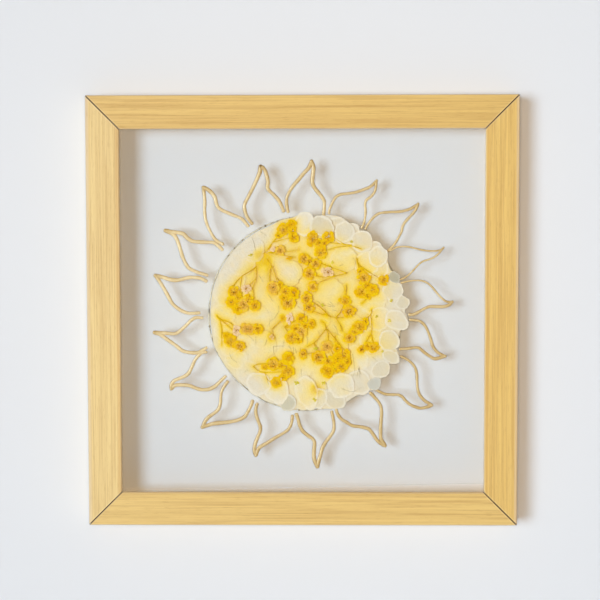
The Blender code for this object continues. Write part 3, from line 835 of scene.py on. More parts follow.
# Where the dye has spread into the petals: middle, reach and strength (below zero: left pale)
STAINS = [
    (308, 312, 62, 0.26), (305, 315, 98, 0.12), (264, 257, 8, 0.9), (255, 253, 4, 0.4),
    (249, 253.5, 3, 0.2), (271, 271, 6, 0.4), (252, 268, 15, 0.36), (300, 310, 8, -0.25),
    (345, 260, 12, 0.14), (388, 345, 10, 0.2), (316, 388, 6, 1.1), (236, 248, 22, -0.16),
    (374, 383, 12, -0.2), (250, 252, 4, -0.4), (300, 246, 14, 0.2), (306, 396, 11, 0.18),
    (313, 331, 12, -0.04), (372, 262, 9, 0.2), (380, 300, 10, 0.14), (375, 330, 12, 0.18),
    (350, 320, 10, 0.01), (335, 330, 12, 0.08), (222, 300, 8, 0.18), (224, 318, 9, 0.2),
    (232, 362, 10, 0.26), (341, 388, 9, 0.12), (232, 258, 14, -0.16), (287, 270, 12, -0.26),
    (251, 385, 10, -0.16), (330, 290, 10, -0.05), (285, 345, 9, -0.22), (380, 378, 16, -0.1),
    (402, 303, 9, -0.3), (356, 386, 9, -0.12), (240, 236, 10, -0.2), (330, 228, 16, -0.1),
    (359, 240, 14, -0.08), (262, 314, 11, -0.14), (247, 346, 10, -0.08),
]

# The scalloped rim of the petal bed, clockwise from its top
BED_RIM = [
    (300, 212.5), (306, 214), (311, 216.5), (321, 215), (334, 215), (340.5, 217), (345.5, 222),
    (352, 223), (358, 229), (363, 231.5), (369.5, 239), (376.5, 241.5), (379, 245), (384, 249.5),
    (387, 260), (389, 268), (391, 270.5), (395.5, 273), (398, 282), (402, 287), (401.5, 295.5),
    (406.5, 298), (408.5, 303.5), (404, 310.5), (407.5, 318), (405, 326), (399, 330.5), (397.5, 343),
    (395.5, 348), (398.5, 354), (396.5, 362), (390, 363), (385.5, 365), (387, 370), (384, 375.5),
    (380, 377), (380.5, 382.5), (375.5, 388), (367, 390.5), (354, 396), (345, 402), (336, 407.5),
    (322, 408), (311, 407.5), (303, 410), (295, 408), (291, 411), (282, 408.5), (276, 404.5), (263, 401),
    (252, 392.5), (239, 384), (229, 373), (220, 360), (213, 345), (210.5, 330), (209.5, 315),
    (210.5, 298), (214.5, 281), (221, 266.5), (231, 251.5), (243, 240), (256, 231), (270, 224.5),
    (282, 219), (293, 216.5),
]

# The dyed sprigs: stems from the foot outwards, then blossoms as middle, half width and half
# height, how brown their heart is and how pale they stayed
SPRIGS = [
    ([[(267.5, 249), (272, 242), (282, 230)], [(272, 242), (280, 239.5), (293, 237)],
      [(262, 254), (267.5, 249)]],
     [(283, 229, 6.3, 6.3, 0.5, 0), (291, 224.5, 5.2, 5.2, 0.1, 0), (293, 237, 5.4, 5, 0.15, 0),
      (278, 235, 3.2, 3.6, 0.1, 0), (287.5, 226.5, 4, 5, 0.1, 0), (291.8, 231, 3.6, 4.2, 0.05, 0)]),
    ([[(267, 252), (280, 251)], [(267, 252), (285, 251.5), (298, 249)], [(267, 252), (295, 257)]],
     [(280, 249.5, 4.8, 5.4, 0.75, 0.1), (273, 248.5, 3.2, 3, 0.1, 0.9),
      (288.5, 257.5, 3, 2.2, 0.1, 0)]),
    ([[(361, 248.5), (350, 245), (338, 243), (314, 241)], [(344, 244), (330, 235)],
      [(352, 245.5), (337, 246.5), (322, 251)]],
     [(312.5, 238, 6, 7.5, 0.5, 0), (327.5, 236.5, 5.8, 6.4, 0.25, 0), (320.5, 252.2, 6, 6, 0.4, 0),
      (317.5, 242.5, 4, 4.6, 0.3, 0), (323.5, 242.5, 3.6, 3.6, 0.2, 0)]),
    ([[(346.5, 272.5), (335, 268.5), (322, 263.5), (304, 258.5)],
      [(346.5, 272.5), (334, 275.5), (322, 276.5), (310, 273.5)], [(340, 274), (325, 279), (313, 286)],
      [(335, 275.5), (327, 272)]],
     [(303.5, 258.5, 5.6, 5.4, 0.8, 0), (315, 263.5, 5.4, 5, 0.8, 0), (309, 273, 5.6, 6, 0.8, 0),
      (312.5, 286.5, 5, 5, 0.7, 0), (327, 271.5, 6.5, 4.2, 0.9, 0.7), (309, 261.5, 4, 4, 0.6, 0)]),
    ([[(256, 266), (249, 271), (241, 276), (234, 284), (232, 292)], [(233.5, 291), (231.5, 302)],
      [(241, 276), (240, 287), (243, 304)], [(255.5, 265.5), (255.5, 278), (252.5, 288), (254, 304)],
      [(255.5, 278), (246, 287)], [(234, 284), (228, 287)]],
     [(233.5, 291.5, 6.2, 6, 0.6, 0), (231, 301.5, 6, 5.6, 0.1, 0), (238, 308.5, 6, 4.8, 0.05, 0),
      (237.5, 297, 4, 4.4, 0.3, 0), (245.5, 288, 4.4, 4.4, 0.5, 0.8), (243.5, 304, 6, 7, 0.6, 0.1),
      (254.5, 305, 5, 5.4, 0.4, 0), (248, 299, 4, 5, 0.3, 0)]),
    ([[(270.5, 264.5), (269, 276), (270, 286)], [(271, 265), (275.5, 277), (277, 287)],
      [(275.5, 277), (284, 286), (290, 294), (287.5, 303)], [(266, 258), (270.5, 264.5)]],
     [(272.5, 287.5, 5.6, 7, 0.7, 0.1), (285, 291, 5.6, 6, 0.3, 0), (293, 292.5, 5.6, 6.4, 0, 0),
      (284, 297.5, 4.6, 4.6, 0.2, 0), (279.5, 284.5, 3.6, 4, 0.1, 0), (287.5, 303, 6.4, 6, 0.75, 0)]),
    ([[(328, 315.5), (321.5, 308.5), (306, 297)], [(327, 315), (317.5, 312.5), (309, 309)]],
     [(306, 298, 5.4, 5.8, 0.6, 0), (308.5, 307, 5.2, 5.6, 0.6, 0)]),
    ([[(335, 317), (340, 311), (344.5, 301)], [(334, 317), (342, 317), (349, 311)],
      [(345.5, 285), (345, 298)], [(335, 317), (339.5, 324.5), (341.5, 330.5)],
      [(323, 313), (330, 316), (335, 317)]],
     [(344.5, 300.5, 5.6, 5.2, 0.4, 0), (348.5, 310.5, 6.2, 6, 0.5, 0)]),
    ([[(356, 257), (358, 264), (370, 272.5), (381, 279)], [(357.5, 262), (359, 270), (363, 277)],
      [(372, 289), (363, 277), (361, 290)], [(361, 290), (366, 297), (361, 303)]],
     [(363.5, 277.5, 6.6, 6.2, 0.7, 0), (382.5, 279.5, 5.2, 5.4, 0.5, 0), (361, 291, 6.2, 6, 0.4, 0),
      (372.5, 289.5, 6, 6.4, 0.1, 0), (366, 285, 4, 4.4, 0.2, 0), (366.5, 295, 4.4, 3.8, 0.1, 0),
      (360, 271, 3.6, 4, 0.1, 0)]),
    ([[(216, 315), (219, 318.5), (230, 322.5), (235, 329)], [(218.5, 317.5), (226, 324), (234, 331)],
      [(218.5, 317.5), (221, 328), (221, 345)], [(221, 331), (229, 340), (239, 345)],
      [(235.5, 330), (250, 328.5)]],
     [(247, 328.5, 8, 4.8, 0.8, 0.1), (257, 328.5, 5.4, 4.6, 0.3, 0), (235.8, 330, 3.2, 5.8, 0.3, 0.8),
      (230, 340.5, 6.4, 6.2, 0.3, 0), (239, 345.5, 5.4, 4.8, 0.7, 0), (226.5, 335.5, 4, 4, 0.05, 0)]),
    ([[(284, 326.5), (290, 322.5), (299, 318)], [(284, 326.5), (293, 326.5), (310, 323.5)],
      [(283.5, 326), (291, 336)], [(292, 326), (300, 330)]],
     [(300.5, 318, 5.2, 5, 0.15, 0), (311, 323.5, 3.6, 4.2, 0.3, 0), (300.5, 331, 5.8, 5.6, 0.6, 0.1),
      (291.5, 337, 6.6, 6.2, 0.5, 0), (289, 318, 3, 5, 0, 0.9), (295.5, 328, 5, 3.8, 0.2, 0),
      (297.5, 338.5, 4.2, 4, 0.3, 0), (304, 325.5, 4, 3.8, 0.1, 0)]),
    ([[(271.5, 328.5), (276, 324), (282.5, 317)], [(271.5, 328.5), (271.5, 337)]],
     [(282, 318, 2, 3.2, 0.1, 0), (271.2, 336.5, 2.8, 3.2, 0.4, 0.5)]),
    ([[(252.5, 366), (258, 363.5), (272, 363)], [(252.5, 366), (262, 371.5), (287, 371)],
      [(272, 363), (287, 358)], [(264, 372), (268, 380), (275, 382)]],
     [(273, 363.5, 7, 6, 0.7, 0), (287.5, 357.5, 6, 6.6, 0.05, 0), (287, 371, 6.2, 6.2, 0.4, 0),
      (275.5, 382, 5, 5.4, 0.3, 0), (280.5, 364.5, 4.6, 4.6, 0.2, 0), (283, 376.5, 3.8, 3.6, 0.1, 0),
      (264.5, 366, 4, 3.2, 0.3, 0)]),
    ([[(324, 323), (325.5, 328), (327.5, 335), (326.5, 347)],
      [(325.5, 328), (319.5, 335.5), (313.5, 342), (306, 346.5)],
      [(325.5, 328), (334.5, 338), (347, 354)], [(326.5, 342), (331, 351), (337, 364), (327, 370)],
      [(313.5, 342), (317, 356)], [(302, 353.5), (317, 352)], [(334.5, 335), (334.5, 352)],
      [(321, 321), (324, 323)]],
     [(326, 346.5, 5.4, 6, 0.7, 0.1), (318, 356.5, 6.2, 7, 0.6, 0), (302.5, 353.5, 3.6, 4.6, 0.6, 0),
      (327, 370.5, 6.6, 6.2, 0.2, 0), (342.5, 355, 6.6, 6.8, 0.2, 0), (341, 366, 5.6, 5, 0.2, 0),
      (336.5, 348, 3, 6, 0.05, 0), (328, 361, 5, 5, 0.3, 0), (337, 358, 5, 6, 0.05, 0),
      (334, 368, 5, 4.6, 0.1, 0), (346.5, 361, 3.8, 5, 0.2, 0)]),
    ([[(371, 309), (370, 313.5), (359, 326), (349, 337)],
      [(370, 313.5), (371, 325), (370, 333), (361.5, 348)], [(370, 332), (373.5, 346)]],
     [(359, 326.5, 6.6, 6.2, 0.4, 0), (349, 337.5, 6.2, 5.2, 0.6, 0), (372.5, 347, 6.2, 5, 0.35, 0),
      (361, 349, 3.6, 3.6, 0.6, 0), (354, 331, 4.6, 4, 0.3, 0), (365, 321, 3.8, 3.6, 0.05, 0),
      (367, 345, 3.8, 3.8, 0.2, 0)]),
]

# Loose green flecks and bud ends: middle, half width, half height
FLECKS = [
    (296, 382.5, 2.4, 2.4), (323, 382.5, 1.8, 2), (314, 399, 1.8, 2), (322, 304.5, 2, 1.8),
    (332, 262, 1.6, 1.8), (329, 266, 1.4, 1.4), (351, 241, 1.6, 1.6), (390.5, 300, 1.6, 1.8),
    (376, 316, 1.4, 1.4), (250, 254.5, 2.4, 1.2), (389, 320, 1.8, 1.6), (382, 351, 1.4, 1.4),
    (315, 348, 2.4, 2.4),
]

# Fine loose fibres and creases
FIBRES = [
    [(278.2, 305), (278.2, 310.6), (273.7, 317.6), (269.5, 321), (268.8, 326)],
    [(266.3, 338.7), (265.3, 342.9), (263.2, 345.7)], [(273, 345.7), (285, 345.3)],
    [(273, 345.7), (273.7, 357)], [(292.6, 346.4), (293.3, 354)], [(300.4, 368.2), (301, 375.2)],
    [(255.4, 335.9), (255.4, 344.3)], [(305.6, 335.2), (307, 338.7), (306.7, 344.3)],
    [(333, 323.9), (336.5, 329.6), (336.5, 334.5)], [(358.6, 367.5), (359.3, 378)],
    [(326, 382), (326.7, 391)], [(352.6, 257), (356, 264.7)], [(327.4, 303.2), (333.7, 306)],
    [(254, 245.7), (255.4, 250.6)], [(259.6, 231), (266, 235.2)], [(258.2, 274.5), (263.2, 281.5)],
    [(297.5, 280), (301.8, 276.6)], [(341, 388), (352, 391), (362, 386)],
    [(352, 353), (354, 370), (352, 376)], [(251.4, 237.2), (254, 244), (254.2, 246.6)],
    [(267.9, 294), (272.7, 301)], [(345.6, 284.5), (346.6, 289), (346, 293)],
    [(338.5, 265.8), (343.3, 263.3)], [(328.9, 300.8), (333.9, 306.2), (324.8, 305)],
    [(331.6, 309.4), (337.1, 310.5)], [(337.4, 321.5), (341.4, 327), (341.6, 331.1)],
    [(283.6, 340), (282.2, 347.5)], [(287.8, 344.8), (291.9, 350.3)], [(296, 353), (294.4, 347)],
    [(356.3, 376), (359, 365.4)], [(357.5, 367), (360.6, 374)],
    [(245.9, 333.8), (250.4, 337), (254.8, 342)], [(371.4, 355.8), (376.9, 361.3)],
    [(243.6, 372), (246.8, 369.2), (248.2, 371.8)], [(229, 352.6), (231.4, 358), (237, 362)],
    [(266.4, 378), (268.4, 384.6)], [(316, 300), (320.6, 303.6)], [(240.6, 293.6), (246.4, 287)],
    [(362, 318.6), (367.4, 322)],
]

STREAM = random.Random(27)


# The petals

# Where the ring dips below the petals, at the lower left, and where it is palest: the middle
# and the width of each stretch, in degrees clockwise from the right
RING_DIP = (132, 24)
RING_PALE = (228, 28)
PETAL_THICKNESS = 0.00003
# Petals lie at depths this far apart, so that no two share one
PETAL_STEP = 0.000012
# How far a petal crumples, the share of that to front and back, and the folds in a metre
PETAL_CRUMPLE = {"crumple": 0.0044, "flatness": 0.009, "fold": 150.0}
SHEET_HALF = 0.00004
SHEET_DEPTH = PETAL_NEAR + 0.00062
LAYER_DEPTH = PETAL_NEAR + 0.00056
# Stains that reach further than this, in pixels, have a firmer edge
BROAD_STAIN = 40
# Blossoms paler than this have no dye to bleed, and petals greyer than this are thin
PALE_BLOSSOM = 0.6
THIN_GREY = 0.5
# Vertices that are dyed at one time
DYE_BATCH = 2000


def pixels_of(points):
    """Where points stand in the photograph's view, in pixels."""
    local = (points - np.array(EYE)) @ np.array(TURN)
    return VIEW_MIDDLE + VIEW_SCALE * local[:, [0, 2]] * (1, -1) / local[:, [1]]


def dye_marks():
    """Points along every stem and round every blossom, which the dye has bled from."""
    marks = []
    angles = np.linspace(0, math.tau, 14, endpoint=False)
    for stems, blossoms in SPRIGS:
        marks += [flowing(stem, 0.8) for stem in stems]
        for x, y, wide, high, _brown, pale in blossoms:
            if pale > PALE_BLOSSOM:
                continue
            for share in (0.0, 0.5, 0.9):
                ring = [x + share * wide * np.cos(angles), y + share * high * np.sin(angles)]
                marks.append(np.stack(ring, axis=1))
    return np.concatenate(marks)


DYE_MARKS = dye_marks()


def dye_at(pixels):
    """How strongly the dye shows at each place."""
    strength = np.zeros(len(pixels))
    for x, y, reach, level in STAINS:
        away = np.hypot(pixels[:, 0] - x, pixels[:, 1] - y) / reach
        strength += level * np.exp(-(away ** (4 if reach > BROAD_STAIN else 2)))
    for start in range(0, len(pixels), DYE_BATCH):
        part = pixels[start : start + DYE_BATCH, None]
        gap = np.hypot(part[..., 0] - DYE_MARKS[:, 0], part[..., 1] - DYE_MARKS[:, 1]).min(axis=1)
        bleed = 0.46 * np.exp(-((gap / 1.9) ** 2)) + 0.33 * np.exp(-((gap / 6.5) ** 2))
        strength[start : start + DYE_BATCH] += bleed
    return np.clip(strength, 0.0, 1.0)


def paint_petals(mesh):
    """Stores the dye at every vertex of a mesh."""
    places = np.array([vert.co for vert in mesh.vertices], float)
    keep(mesh, "dye", dye_at(pixels_of(places)))


def sheet(name, rows, front, back):
    """A thin closed sheet: rings of places from the rim in to the middle, front and back."""
    count = len(rows[0])
    middle = len(rows) * count
    centre = np.mean(rows[-1], axis=0)
    verts, faces = [], []
    for lift in (front, back):
        verts += [(x, y + lift, z) for row in rows for x, y, z in row]
    verts += [tuple(centre + (0, lift, 0)) for lift in (front, back)]
    for side in (0, 1):
        for ring in range(len(rows)):
            for i in range(count):
                a = side * middle + ring * count + i
                b = side * middle + ring * count + (i + 1) % count
                inner = (b + count, a + count) if ring < len(rows) - 1 else (2 * middle + side,)
                face = (a, b) + inner
                faces.append(face if side else face[::-1])
    for i in range(count):
        faces.append((i, (i + 1) % count, middle + (i + 1) % count, middle + i))
    mesh = bpy.data.meshes.new(name)
    mesh.from_pydata(verts, [], faces)
    facing_out(mesh)
    return mesh


def round_petal():
    """One broad petal of half size 1, a little notched, with its foot on the left."""
    rings, sides, foot = 9, 36, 1.15
    rows = []
    for ring in range(rings):
        share = 1 - ring / rings
        row = []
        for i in range(sides):
            angle = math.tau * i / sides
            swell = 0.035 * math.cos(2 * angle) + 0.03 * math.sin(3 * angle + 0.6)
            swell -= 0.07 * math.exp(-((math.sin((angle - 0.5) / 2) / 0.09) ** 2))
            swell -= 0.05 * math.exp(-((math.sin((angle + 0.8) / 2) / 0.10) ** 2))
            reach = share * (1 + swell * share**2)
            cup = 0.35 * share**3 * math.sin(3 * angle + 1.0) + 0.25 * share**2 * math.sin(2 * angle)
            row.append((reach * math.cos(angle), cup, reach * math.sin(angle)))
        rows.append(row)
    mesh = sheet("round petal", rows, -0.5, 0.5)
    leaf, rim = [], []
    for x, _y, z in (vert.co for vert in mesh.vertices):
        leaf.append((math.atan2(z, x + foot), math.hypot(x + foot, z), 0))
        rim.append(min(1.0, math.hypot(x, z)))
    keep(mesh, "leaf", leaf, "FLOAT_VECTOR")
    keep(mesh, "rim", rim)
    return hidden("round petal", mesh)


def petal_row(x, y, wide, high, grey, depth):
    """The point of one petal. Its foot turns to the middle of the disc."""
    away = math.atan2(DISC[1] - y, x - DISC[0]) + STREAM.uniform(-0.7, 0.7)
    across, along = (wide, high) if abs(math.sin(away)) > 0.7 else (high, wide)
    # Lit edges show towards the disc's rim, and less so at its upper left
    edge = min(1.0, max(0.08, (math.hypot(x - DISC[0], y - DISC[1]) - 58) / 30))
    return {
        "place": spot(x, y, depth),
        "turn": turned(-away),
        "size": (along * PIXEL, PETAL_THICKNESS, across * PIXEL),
        "grey": grey,
        "seed": STREAM.uniform(0, 50),
        "edge": edge * (1.0 if x > 300 or y > 380 else 0.4),
    }


def petal_layer(shape, finish):
    """The scalloped layer of petals behind the ones that stand out."""
    count, rings = 180, 46
    rim = flowing(BED_RIM + BED_RIM[:1], 1.2) - DISC
    angles = np.unwrap(np.arctan2(rim[:, 1], rim[:, 0]))
    order = np.argsort(angles)
    angles = angles[order]
    reach = np.hypot(rim[:, 0], rim[:, 1])[order]
    rows = []
    for ring in range(rings):
        share = 1 - ring / rings
        row = []
        for i in range(count):
            angle = angles[0] + math.tau * i / count
            inset = 1 - 0.007 * max(0.0, -math.cos(angle)) ** 0.5
            away = np.interp(angle, angles, reach) * share * inset - 1.7 * near(angle, *RING_DIP) * share
            x = DISC[0] + away * math.cos(angle)
            y = DISC[1] + away * math.sin(angle)
            wave = noise.noise(Vector((x / 9, y / 9, 3.0))) * 0.00004
            row.append(tuple(spot(x, y, SHEET_DEPTH) + Vector((0, wave, 0))))
        rows.append(row)
    mesh = sheet("petal_layer", rows, -SHEET_HALF, SHEET_HALF)
    pixels = pixels_of(np.array([vert.co for vert in mesh.vertices], float))
    keep(mesh, "leaf", np.column_stack([pixels / 9, np.zeros(len(pixels))]), "FLOAT_VECTOR")
    for mark, value in (("grey", 0.1), ("rim", 0.3), ("seed", 0.3), ("edge", 0.0)):
        keep(mesh, mark, np.full(len(pixels), value))
    mesh.materials.append(finish)
    bed = linked("petal_layer", mesh)
    rows = []
    for number, petal in enumerate(LAYER_PETALS):
        depth = LAYER_DEPTH - PETAL_STEP * ((number * 5) % len(LAYER_PETALS))
        rows.append(petal_row(*petal, depth))
    made = joined([bed, scattered("layer petals", rows, shape, finish, **PETAL_CRUMPLE)])
    paint_petals(made.data)
    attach(made, BODY)
    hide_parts("petal_bed")


def pressed_petals(shape, finish, thin):
    """The twenty petals that stand out, each a piece of its own."""
    for number, petal in enumerate(PETALS, 1):
        depth = PETAL_NEAR - PETAL_STEP * ((number * 7) % len(PETALS))
        own = thin if petal[4] > THIN_GREY else finish
        rows = [petal_row(*petal, depth)]
        made = scattered(f"pressed_petal_{number:02d}", rows, shape, own, **PETAL_CRUMPLE)
        paint_petals(made.data)
        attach(made, BODY)
        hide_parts(f"petal_{number:02d}")


# The sprigs

# Whorls as their reach, the length and number of their petals, and how far they are raised
BLOSSOM_WHORLS = [(1.12, 0.80, 7, 0.0), (0.84, 0.58, 6, 0.00008)]
BUD_WHORLS = [(1.0, 0.8, 4, 0.0), (0.6, 0.5, 3, 0.00012)]
FLORET_RAISE = 0.00018
BLOSSOM_WIDENING = 1.08
# Blossoms smaller than this, in pixels, are buds with no heart
BUD_SIZE = 3.5
BLOSSOM_DEPTH = SPRIG_BACK - 0.00022
STEM_DEPTH = SPRIG_BACK - 0.0001
FIBRE_DEPTH = PETAL_FRONT - 0.00004
LITTLE_THICKNESS = 0.00004
# Half widths of a sprig's main stem, its side stems and a fibre, in millimetres
MAIN_HALF = 0.22
SIDE_HALF = 0.17
FIBRE_HALF = 0.09


def small_petal():
    """A little cupped petal of length 1 that stands on its foot."""
    steps = [(0.02, 0.05), (0.25, 0.20), (0.5, 0.34), (0.75, 0.36), (0.93, 0.22)]
    front, back = [], []
    for along, half in steps:
        for side in (-1, 0, 1):
            front.append((along, 0.8 * abs(side) - 0.5, side * half))
            back.append((along, 0.5 + 0.6 * abs(side), side * half))
    front.append((1.0, -0.2, 0.0))
    back.append((1.0, 0.6, 0.0))
    size = len(front)
    tip = size - 1
    faces = []
    for offset, flip in ((0, False), (size, True)):
        for i in range(len(steps)):
            for j in range(2):
                a = offset + 3 * i + j
                face = (a, a + 1, a + 4, a + 3) if i < len(steps) - 1 else (a, a + 1, offset + tip)
                faces.append(face[::-1] if flip else face)
    loop = [0, 1, 2, 5, 8, 11, 14, tip, 12, 9, 6, 3]
    faces += [(a, b, b + size, a + size) for a, b in zip(loop, loop[1:] + loop[:1])]
    mesh = bpy.data.meshes.new("small petal")
    mesh.from_pydata(front + back, [], faces)
    facing_out(mesh)
    keep(mesh, "along", [max(0.0, vert.co.x) for vert in mesh.vertices])
    return hidden("small petal", mesh)


def speck():
    """A tiny round grain."""
    shaping = bmesh.new()
    bmesh.ops.create_icosphere(shaping, subdivisions=1, radius=1.0)
    mesh = bpy.data.meshes.new("grain")
    shaping.to_mesh(mesh)
    shaping.free()
    return hidden("grain", mesh)


def blossom_rows(x, y, wide, high, brown, pale):
    """The little petals of one blossom: loose whorls, and florets heaped on its heart."""
    wide, high = wide * BLOSSOM_WIDENING, high * BLOSSOM_WIDENING
    size = (wide + high) / 2
    bud = size < BUD_SIZE
    petals = []
    for reach, length, count, lift in BUD_WHORLS if bud else BLOSSOM_WHORLS:
        start = STREAM.uniform(0, math.tau)
        for i in range(count):
            angle = start + math.tau * (i + STREAM.uniform(-0.3, 0.3)) / count
            foot = max(0.0, reach * STREAM.uniform(0.80, 1.06) - length)
            petals.append((foot, angle, angle, length, STREAM.uniform(1.05, 1.55), lift))
    for _ in range(0 if bud else round(7 + 5 * brown)):
        angle = STREAM.uniform(0, math.tau)
        turn = angle + STREAM.gauss(0, 0.8)
        foot = STREAM.uniform(0.0, 0.5)
        length = STREAM.uniform(0.26, 0.40)
        petals.append((foot, angle, turn, length, STREAM.uniform(0.8, 1.2), FLORET_RAISE))
    rows = []
    for foot, angle, turn, length, width, lift in petals:
        depth = BLOSSOM_DEPTH - lift + STREAM.uniform(-0.00004, 0.00004)
        span = length * math.hypot(wide * math.cos(turn), high * math.sin(turn))
        rows.append(
            {
                "place": spot(x + foot * wide * math.cos(angle), y - foot * high * math.sin(angle), depth),
                "turn": turned(-turn, STREAM.uniform(-0.01, 0.06), STREAM.uniform(-0.10, 0.10)),
                "size": (span * PIXEL, LITTLE_THICKNESS, size * length * PIXEL * width),
                "tone": STREAM.uniform(0.0, 1.0),
                "brown": brown,
                "pale": pale,
                "start": foot,
                "reach": length,
            }
        )
    return rows


def speck_rows(x, y, wide, high, brown):
    """Dark specks and fine threads round the heart of a blossom."""
    rows = []
    for _ in range(round(5 + 18 * brown)):
        angle = STREAM.uniform(0, math.tau)
        away = abs(STREAM.gauss(0, 0.40))
        if away > 0.85:
            continue
        depth = SPRIG_FRONT + STREAM.uniform(0.00010, 0.00022)
        size = STREAM.uniform(0.12, 0.22) * PIXEL
        rows.append(
            {
                "place": spot(x + away * wide * math.cos(angle), y - away * high * math.sin(angle), depth),
                "turn": turned(-angle + STREAM.gauss(0, 0.35)),
                "size": (size * STREAM.uniform(1.2, 5.0), size * 0.4, size),
            }
        )
    return rows


def dyed_sprigs(petal, grain, blossom, dark, stem):
    """Every sprig: its stems, its blossoms and the specks in their hearts."""
    for number, (stems, blossoms) in enumerate(SPRIGS, 1):
        halves = [MAIN_HALF] + [SIDE_HALF] * (len(stems) - 1)
        strokes = [stroke(points, half, foot=1.15, tip=0.7) for points, half in zip(stems, halves)]
        paths = path_mesh("stems", strokes, STEM_DEPTH)
        name = f"dyed_sprig_{number:02d}"
        pieces = [beads(name, paths, stem, rise=0.6, unevenness=0.8, wave=900.0, sides=8)]
        rows, specks = [], []
        for flower in blossoms:
            rows += blossom_rows(*flower)
            if flower[3] > BUD_SIZE:
                specks += speck_rows(*flower[:5])
        folds = {"crumple": 0.0013, "flatness": 0.13, "fold": 620.0}
        pieces.append(scattered("blossoms", rows, petal, blossom, **folds))
        if specks:
            pieces.append(scattered("specks", specks, grain, dark, crumple=0.0, flatness=0.0, fold=1.0))
        made = joined(pieces)
        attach(made, BODY)
        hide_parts(f"sprig_{number:02d}")


def flecks(petal, finish):
    """Loose green flecks and bud ends."""
    rows = []
    for fleck in FLECKS:
        rows += blossom_rows(*fleck, 0.0, 0.0)
    made = scattered("green_flecks", rows, petal, finish, crumple=0.0005, flatness=0.25, fold=900.0)
    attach(made, BODY)


def fibres(finish):
    """Fine loose fibres on the petals."""
    strokes = [stroke(points, FIBRE_HALF, tip=0.5) for points in FIBRES]
    paths = path_mesh("fibres", strokes, FIBRE_DEPTH)
    made = beads("loose_fibres", paths, finish, rise=1.0, unevenness=0.6, wave=900.0, sides=6)
    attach(made, BODY)


# The raised paint

# Rays whose second line starts with a drop
DROP_RAYS = (1, 3, 9, 16, 17)
# The painted lines are this much wider than the widths read from the photograph
RAY_WIDENING = 1.24
RING_POINTS = 380
RING_HALF = 0.35


def gold_rays(finish):
    """Seventeen flame-shaped rays, each of two lines that meet at the tip."""
    for number, (legs, tone) in enumerate(zip(RAYS, RAY_TONES), 1):
        strokes = []
        for order, (half, points) in enumerate(legs):
            half *= RAY_WIDENING
            drops = [(0.0, half * 1.12)] if number in DROP_RAYS and order else []
            drops.append((1.0, half * 1.08))
            strokes.append(stroke(points, half, foot=0.9, tip=1.1, drops=drops, tone=tone, tip_tone=0.85))
        paths = path_mesh("lines", strokes, LINE_BASE)
        name = f"gold_ray_{number:02d}"
        made = beads(name, paths, finish, rise=0.5, unevenness=0.55, wave=240.0, sides=16)
        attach(made, BODY)
        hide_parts(f"ray_{number:02d}")


def pewter_ring(finish):
    """The thin uneven ring line with its dark drops. It dips below the petals at the lower left."""
    rows = []
    for i in range(RING_POINTS):
        angle = math.tau * i / RING_POINTS
        c, s = math.cos(angle), math.sin(angle)
        dip = near(angle, *RING_DIP)
        away = DISC_RADIUS + 0.5 * noise.noise(Vector((c * 3, s * 3, 1.0))) - 1.3 * dip
        tone = 0.25 + 1.6 * noise.noise(Vector((c * 16, s * 16, 7.0)))
        tone -= 0.2 * dip + 0.7 * near(angle, *RING_PALE)
        rows.append([DISC[0] + away * c, DISC[1] + away * s, RING_HALF, 0.0, min(1.0, max(0.0, tone))])
    for x, y in RING_DROPS:
        nearest = min(rows, key=lambda row: math.hypot(row[0] - x, row[1] - y))
        nearest[3] = STREAM.uniform(0.46, 0.66)
        nearest[4] = 1.0
    paths = path_mesh("ring path", [rows], LINE_BASE, closed=True)
    made = beads("pewter_ring", paths, finish, rise=0.6, unevenness=1.9, wave=760.0, sides=12)
    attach(made, BODY)
    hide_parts("ring_line")


# Light, backdrop and camera


def backdrop():
    """A plain pale wall behind and a plain pale floor below, clear when seen from behind."""
    pale = (0.757, 0.760, 0.770, 1)
    made, tree, shader = material_of("plain pale backdrop", base_color=pale, roughness=0.9)
    back = node(tree, "ShaderNodeNewGeometry").outputs["Backfacing"]
    shadow = node(tree, "ShaderNodeLightPath").outputs["Is Shadow Ray"]
    see_through(tree, shader.outputs[0], (math_node(tree, "MAXIMUM", back, shadow), (1, 1, 1, 1)))
    wall_y = BACK_Y + 0.0003
    floor_z = -0.75
    reach = 3.0
    spans = {"wall": ((wall_y, floor_z), (wall_y, reach)), "floor": ((-reach, floor_z), (wall_y, floor_z))}
    for name, (start, end) in spans.items():
        places = [(-reach, *start), (reach, *start), (reach, *end), (-reach, *end)]
        mesh = bpy.data.meshes.new(name)
        mesh.from_pydata(places, [], [(0, 1, 2, 3)])
        mesh.materials.append(made)
        linked(name, mesh)


def lamp(name, kind, direction, share, spread=1.0, **settings):
    """A lamp that shines that way. share is what it adds to a white surface that faces it."""
    data = bpy.data.lights.new(name, kind)
    peak = max(share)
    data.energy = peak * math.pi * spread
    data.color = tuple(part / peak for part in share)
    for key, value in settings.items():
        setattr(data, key, value)
    made = linked(name, data)
    made.rotation_euler = Vector(direction).to_track_quat("-Z", "Y").to_euler()
    made.visible_transmission = False
    return made


def unmirrored(light, names):
    """Keeps a lamp's own reflection off the named pieces."""
    kept_off = bpy.data.collections.new(f"no reflection of the {light.name}")
    for name in names:
        kept_off.objects.link(bpy.data.objects[name])
    light.light_linking.receiver_collection = kept_off
    for entry in kept_off.collection_objects:
        entry.light_linking.link_state = "EXCLUDE"


